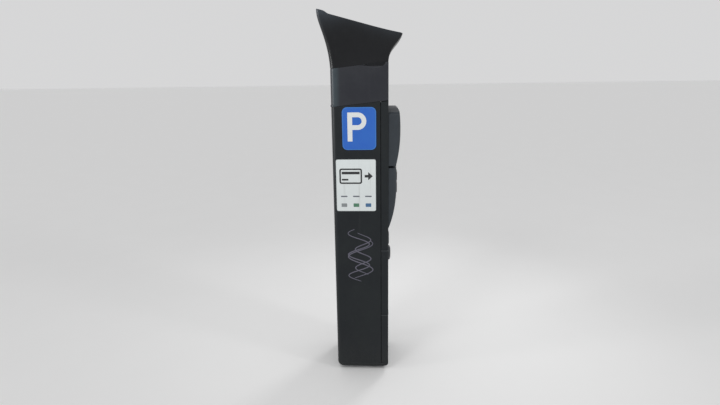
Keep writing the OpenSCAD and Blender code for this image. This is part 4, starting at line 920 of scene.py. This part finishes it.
def make_marker_scribble():
    """Three loose waves of a pen drawn downwards over one another, low on the left-hand side; they spell nothing.
    Each is depth = middle + swing * sin(turn + start) against height = top - fall * turn, in millimetres."""
    marks = []
    for number, (top, fall, turns, middle, swing, start) in enumerate(
            [(748, 17, 15.5, 12, 50, 0.4), (730, 15, 14.0, -8, 37, 2.4), (690, 21, 9.0, 4, 58, 4.1)]):
        turn = np.linspace(0, turns, 40)
        spots = np.stack([middle + swing * np.sin(turn + start), top - fall * turn], axis=1)
        lift = (0.02 + 0.03 * number) * MM
        marks.append(sheet_of("stroke", [pen_line(spots, 5.2) * np.array([-1.0, 1.0])], 0.03,
                              (SIDE_X - lift, 0, 0), *LEFT))
    settled(linked("marker_scribble", joined("marker_scribble", marks)), "column", "shell_paint", "marker_ink")


# ---------- display and keys ----------

FRONT = ((1, 0, 0), (0, 0, 1))


def front_plate(name, node, loops, thickness, lift, body, slot, material=None):
    """Flat shapes, in millimetres from the middle of a node, laid in front of that node's front face."""
    low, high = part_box(node)
    middle = Vector(((low.x + high.x) / 2, low.y - lift * MM, (low.z + high.z) / 2))
    mesh = sheet_of(name, loops, thickness, middle, *FRONT)
    return settled(linked(name, mesh), body, slot, material)


def slab(name, low, high, radius, edge, count=8):
    """A plate with round corners seen from the front and rolled edges on both faces, built of stacked outlines.
    Towards each face the outline moves in on a quarter circle."""
    width, height = (high.x - low.x) / MM, (high.z - low.z) / MM
    rows = []
    depth = (high.y - low.y) / MM
    for angle in np.radians(np.linspace(0, 90, 5)):
        rows.append((edge * (1 - math.sin(angle)), edge * (1 - math.cos(angle))))
    rows += [(inset, depth - back) for inset, back in rows[::-1]]
    points = []
    for inset, back in rows:
        loop = rounded_box(width - 2 * inset, height - 2 * inset, max(radius - inset, 0.3), count)
        points.append(np.stack([loop[:, 0], np.full(len(loop), back), loop[:, 1]], axis=1))
    points = np.array(points) * MM + np.array([(low.x + high.x) / 2, low.y, (low.z + high.z) / 2])
    return surface(name, points, cap=True)


def make_display():
    """A clear pane, a pale panel behind it with dark pictures, and the dark tray that holds the panel."""
    low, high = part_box("display_window")
    pane = slab("window_pane", low, Vector((high.x, high.y - 0.7 * MM, high.z)), 3.0, 0.6)
    settled(linked("window_pane", pane), "upper_door", "window_glass", None, ("display_window",))
    softened("display_module", 0.4 * MM, 1)
    width, height = (high.x - low.x) / MM - 24, (high.z - low.z) / MM - 20
    panel = dict(body="upper_door", slot="display_glass")
    front_plate("display_panel", "display_module", [rounded_box(width, height, 2)], 0.15, 0.02,
                material="display_panel", **panel)
    coin = [arc(0, 0, 11, 0, 360, 40)[:-1], arc(0, 0, 8.6, 0, 360, 36)[:-1], rounded_box(3, 9, 1, 4)]
    ticket = [rounded_box(20, 26, 2), rounded_box(16, 22, 1)] + [bar(10, 1.8, 0, (0, y)) for y in (6, 1, -4)]
    card = [rounded_box(30, 20, 2.5), rounded_box(26.5, 16.5, 1.5), moved(rounded_box(26.5, 3.4, 0.4), 0, 3.4)]
    arrow = [np.array([(-7, -1.6), (1.5, -1.6), (1.5, -5.2), (8, 0), (1.5, 5.2), (1.5, 1.6), (-7, 1.6)])]
    row = ((coin, -48), (arrow, -24), (card, 4), (arrow, 28), (ticket, 52))
    shapes = [moved(loop, x, 8) for picture, x in row for loop in picture]
    shapes += [moved(rounded_box(7, 5, 0.6, 3), -52 + 9.5 * i, -22) for i in range(8)]
    shapes += band((width - 6, height - 6), 0.7, 2.6, 0)
    shapes += [moved(rounded_box(14, 1.6, 0.5, 3), 40, -20), moved(rounded_box(22, 1.6, 0.5, 3), 44, -24.5)]
    shapes += [moved(rounded_box(1.4 + 0.7 * i, 2 + 1.6 * i, 0.3, 2), 44 + 4.5 * i, 31 + 0.8 * i) for i in range(4)]
    front_plate("display_pictures", "display_module", shapes, 0.05, 0.18, material="ink_black", **panel)


def make_key(node, symbol, ink):
    """A key cap with a shallow dish in its face, the flange and stem behind it, and a printed symbol.
    The cap is stacked round-cornered outlines. Its face sinks towards the middle on a parabola."""
    low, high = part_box(node)
    centre_x, centre_z = (low.x + high.x) / 2, (low.z + high.z) / 2
    cap_w, cap_h = (high.x - low.x) / MM - 3, (high.z - low.z) / MM - 3
    rows = [(2.0 * (1 - math.sin(a)), 1.6 * (1 - math.cos(a))) for a in np.radians(np.linspace(0, 90, 8))]
    face = [(2.0 + 9.0 * s, 0.45 * (1 - (1 - s) ** 2)) for s in np.linspace(1, 0.12, 8)]
    body = face + rows + [(0.0, 7.78), (-1.5, 7.82), (-1.5, 10.1), (6.0, 10.1)]
    points = []
    for inset, back in body:
        loop = rounded_box(cap_w - 2 * inset, cap_h - 2 * inset, max(5 - inset, 0.4), 9)
        points.append(np.stack([loop[:, 0], np.full(len(loop), back), loop[:, 1]], axis=1))
    cap = np.array(points) * MM + np.array([centre_x, low.y, centre_z])
    stem = lathe([(0.3, 9.5), (3.6, 9.5), (4.0, 9.9), (4.0, (high.y - low.y) / MM - 0.6),
                  (3.5, (high.y - low.y) / MM), (0.3, (high.y - low.y) / MM)],
                 (centre_x, low.y, centre_z), (0, 1, 0), 28)
    mesh = joined(node + "_shape", [surface("cap", cap, cap=True), surface("stem", stem, cap=True)])
    settled(linked(node + "_shape", mesh), node, SLOT_OF[node], None, (node,))
    mark = sheet_of(node + "_symbol", symbol, 0.08, (centre_x, low.y + 0.44 * MM, centre_z), *FRONT)
    settled(linked(node + "_symbol", mark), node, SLOT_OF[node], ink)


def make_keys():
    cross = np.array([(-1.1, 0.0), (-5.6, 4.5), (-4.5, 5.6), (0, 1.1), (4.5, 5.6), (5.6, 4.5), (1.1, 0), (5.6, -4.5),
                      (4.5, -5.6), (0, -1.1), (-4.5, -5.6), (-5.6, -4.5)])
    plus = np.array([(-5.5, -0.9), (-0.9, -0.9), (-0.9, -5.5), (0.9, -5.5), (0.9, -0.9), (5.5, -0.9), (5.5, 0.9),
                     (0.9, 0.9), (0.9, 5.5), (-0.9, 5.5), (-0.9, 0.9), (-5.5, 0.9)])
    tick = np.array([(-5.8, 0.2), (-4.6, 1.4), (-1.6, -1.7), (4.6, 4.7), (5.8, 3.5), (-1.6, -4.1)])
    make_key("cancel_button", [cross], "sign_white")
    make_key("minus_button", [bar(11, 1.9)], "ink_black")
    make_key("plus_button", [plus], "ink_black")
    make_key("confirm_button", [tick], "sign_white")


# ---------- payment panel ----------


def ring_band(name, centre, outer, inner, front, back):
    """A raised round-edged band between two rounded rectangles: (width, height, radius) each, in millimetres.
    Round the band's section runs half a sine from the outer outline over to the inner one."""
    rows = []
    for share in np.linspace(0, 1, 11):
        size = [o + (i - o) * share for o, i in zip(outer, inner)]
        loop = rounded_box(*size, 10)
        rise = front + (back - front) * (1 - math.sin(math.pi * share) ** 0.6)
        rows.append(np.stack([loop[:, 0], np.full(len(loop), rise), loop[:, 1]], axis=1))
    for size in (inner, outer):
        loop = rounded_box(*size, 10)
        rows.append(np.stack([loop[:, 0], np.full(len(loop), back + 1.0), loop[:, 1]], axis=1))
    points = np.array(rows) * MM + np.array(centre)
    return surface(name, points, closed_along=True)


def make_coin_slot_trim():
    low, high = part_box("coin_slot_plate")
    centre = ((low.x + high.x) / 2, low.y, (low.z + high.z) / 2)
    bezel = ring_band("coin_slot_bezel", centre, (13, 44, 6.0), (4.2, 33, 1.6), -2.2, 0.1)
    settled(linked("coin_slot_bezel", bezel), "upper_door", "bright_steel")
    heads = []
    for x in (-21, 21):
        for z in (-20, 20):
            profile = [(0.05, 0.6), (1.2, 0.6), (1.25, -0.2), (1.6, -0.75), (2.4, -0.6), (3.0, -0.1), (3.1, 0.4)]
            point = (centre[0] + x * MM, low.y - 0.1 * MM, centre[2] + z * MM)
            heads.append(surface("head", lathe(profile, point, (0, 1, 0), 24), cap=True))
    settled(linked("coin_slot_screws", joined("coin_slot_screws", heads)), "upper_door", "polished_steel")


def make_card_trim():
    """Light bars beside the card slot, and the ring and four lamps on the contactless pad."""
    arrows = []
    for step in range(3):
        y = 12.5 + 2.6 * step
        arrows.append(np.array([(-3.4, y), (0, y - 2.0), (3.4, y), (3.4, y + 1.1), (0, y - 0.9), (-3.4, y + 1.1)]))
    front_plate("card_arrows", "card_reader_mouth", arrows, 0.15, -0.02, "upper_door", "black_moulding",
                "lamp_green")
    disc = [arc(0, 0, 14, 0, 360, 48)[:-1], arc(0, 0, 12.4, 0, 360, 48)[:-1], arc(0, 0, 4, 0, 360, 30)[:-1]]
    front_plate("tap_ring", "contactless_reader", disc, 0.12, -0.02, "upper_door", "display_glass", "ink_grey")
    lamps = [moved(rounded_box(6, 1.8, 0.8, 4), -15 + 10 * i, 20) for i in range(4)]
    front_plate("tap_lamps", "contactless_reader", lamps, 0.15, -0.02, "upper_door", "display_glass", "lamp_blue")


def make_return_symbol():
    arrow = [np.array([(-1.1, 5), (1.1, 5), (1.1, -0.5), (3.9, -0.5), (0, -5.2), (-3.9, -0.5), (-1.1, -0.5)])]
    front_plate("return_arrow", "coin_return_button", arrow, 0.1, 0.0, "coin_return_button", "bright_steel",
                "ink_black")


def make_fascia_screws():
    """Pan heads with a socket: a profile turned about each screw's axis, one for each solid of the node."""
    heads = []
    low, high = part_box("fascia_screws")
    profile = [(0.05, 0.0), (3.3, 0.0), (3.5, 0.3), (3.5, 1.6), (3.0, 2.5), (1.9, 2.98), (1.7, 2.9), (1.6, 1.4),
               (0.05, 1.4)]
    upper_low, upper_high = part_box("display_fascia")
    lower_low, lower_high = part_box("payment_fascia")
    heights = [upper_low.z + 8 * MM, upper_high.z - 40 * MM, lower_low.z + 20 * MM, lower_high.z - 6 * MM]
    for side in (low.x + 3.5 * MM, high.x - 3.5 * MM):
        for height in heights:
            heads.append(surface("head", lathe(profile, (side, low.y, height), (0, 1, 0), 26), cap=True))
    settled(linked("fascia_screw_heads", joined("fascia_screw_heads", heads)), "upper_door", "bright_steel", None,
            ("fascia_screws",))


# ---------- printer's paper ----------


def make_paper():
    """The roll with slightly uneven turns at its sides, and the web from the roll's back down to the platen's top.
    The web's path is the tangent from the nip to the roll, then level past the print head."""
    low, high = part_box("paper_roll")
    centre = np.array([(low.y + high.y) / 2, (low.z + high.z) / 2])
    radius = (high.z - low.z) / 2 / MM
    half = (high.x - low.x) / 2 / MM
    turns = np.linspace(12.1, radius, 60)
    ripple = 0.25 * np.sin(turns * 7.0) + 0.2 * np.sin(turns * 2.3 + 1.0)
    right = [(r, half - 0.45 + w) for r, w in zip(turns, ripple)]
    left = [(r, -half + 0.45 + w) for r, w in zip(turns, ripple)]
    profile = right + left[::-1]
    roll = surface("roll", lathe(profile, (0.0, *centre), (1, 0, 0), 96), closed_along=True)
    settled(linked("paper_roll_turns", roll), "paper_roll", "ticket_paper", None, ("paper_roll",))
    plow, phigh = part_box("platen_roller")
    nip = np.array([(plow.y + phigh.y) / 2 + 15 * MM, phigh.z + 0.12 * MM])
    away = centre - nip
    reach = math.hypot(*away)
    r = (radius + 0.15) * MM
    lean = math.asin(r / reach)
    base = math.atan2(away[1], away[0])
    length = math.sqrt(reach * reach - r * r)
    touch = nip + length * np.array([math.cos(base - lean), math.sin(base - lean)])
    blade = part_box("cutter_blade")[1].y
    level = np.linspace(blade + 1.5 * MM, nip[0] - 6 * MM, 14)
    bend = np.linspace(0, 1, 12)[:, None]
    knee = np.array([nip[0] - 2 * MM, nip[1]])
    curve = (1 - bend) ** 2 * np.array([nip[0] - 6 * MM, nip[1]]) + 2 * bend * (1 - bend) * knee \
        + bend ** 2 * (nip + 0.12 * (touch - nip))
    climb = (nip + 0.12 * (touch - nip)) + np.linspace(0, 1, 20)[:, None] * 0.88 * (touch - nip)
    path = np.concatenate([np.stack([level[:-1], np.full(13, nip[1])], axis=1), curve[:-1], climb])
    heading = headings(path)
    out = np.stack([-heading[:, 1], heading[:, 0]], axis=1) * 0.05 * MM
    width = (half - 0.4) * MM
    rows = [np.column_stack([np.full(len(path), x), path + side]) for x, side in
            ((-width, out), (width, out), (width, -out), (-width, -out))]
    web = surface("paper_web", np.stack(rows, axis=1), cap=True)
    settled(linked("paper_web", web), "column", "ticket_paper")


# ---------- light, floor and camera ----------


def make_stage():
    """A pale floor that runs out to the horizon, soft lights and an even pale sky."""
    floor_mesh = bpy.data.meshes.new("floor")
    reach = 60.0
    floor_mesh.from_pydata([(-reach, -reach, 0), (reach, -reach, 0), (reach, reach, 0), (-reach, reach, 0)], [],
                           [(0, 1, 2, 3)])
    floor = linked("floor", floor_mesh)
    tree, shader, vector = started("pale_floor")
    shade = tinted(tree, cloud(tree, vector, 3.0), (0.90, 0.90, 0.895), (0.92, 0.92, 0.915))
    join(tree, shade, shader.inputs["Base Color"])
    shader.inputs["Roughness"].default_value = 0.85
    floor_mesh.materials.append(MATERIALS["pale_floor"])
    sky = bpy.data.worlds.new("even sky")
    sky.use_nodes = True
    bpy.context.scene.world = sky
    sky.node_tree.nodes["Background"].inputs["Color"].default_value = (0.735, 0.735, 0.74, 1)
    sky.node_tree.nodes["Background"].inputs["Strength"].default_value = 0.92
    for name, spot, aim, size, power, spread in (
            ("back_strip", (-0.75, 2.3, 1.5), (-0.1, 0.12, 1.4), (0.35, 1.3), 3.2, 60),
            ("top_left", (-1.7, 1.2, 3.1), (-0.1, 0.0, 1.5), (0.7, 0.7), 2.6, 70),
            ("front_left", (-1.3, -2.6, 2.3), (-0.05, -0.15, 1.1), (0.4, 1.2), 2.0, 70),
            ("right", (2.6, -1.6, 2.2), (0.1, -0.05, 1.0), (0.8, 1.2), 6.0, 80)):
        light = bpy.data.lights.new(name, "AREA")
        light.shape = "RECTANGLE"
        light.size, light.size_y = size
        light.energy = power
        light.spread = math.radians(spread)
        lamp = bpy.data.objects.new(name, light)
        bpy.context.scene.collection.objects.link(lamp)
        lamp.location = spot
        lamp.rotation_euler = (Vector(spot) - Vector(aim)).to_track_quat("Z", "Y").to_euler()


def make_camera():
    """A 45 degree camera on the left-hand side, turned 3 degrees to the front and 15 degrees above."""
    turn, tilt, roll = math.radians(3.0), math.radians(14.861), math.radians(-0.801)
    distance, aim = 2.267523, Vector((-0.140, 0.0037, 0.8791))
    back = Vector((-math.cos(turn) * math.cos(tilt), -math.sin(turn) * math.cos(tilt), math.sin(tilt)))
    right = (-back).cross(Vector((0, 0, 1))).normalized()
    up = right.cross(-back)
    right, up = (right * math.cos(roll) + up * math.sin(roll), up * math.cos(roll) - right * math.sin(roll))
    lens = bpy.data.cameras.new("camera")
    lens.sensor_width = 36.0
    lens.lens = 24.44
    camera = bpy.data.objects.new("camera", lens)
    bpy.context.scene.collection.objects.link(camera)
    turned = Matrix((right, up, back)).transposed().to_4x4()
    camera.matrix_world = Matrix.Translation(aim + back * distance) @ turned
    bpy.context.scene.camera = camera


# ---------- the whole ----------

make_materials()
make_rounded_nodes()
make_door_beads()
make_collar()
make_cowl()
make_solar_panel()
make_louvre_hoods()
make_solar_lead()
make_parking_sign()
make_payment_sticker()
make_marker_scribble()
make_display()
make_keys()
make_coin_slot_trim()
make_card_trim()
make_return_symbol()
make_fascia_screws()
make_paper()
make_stage()
make_camera()
bpy.context.scene.view_settings.view_transform = "Standard"
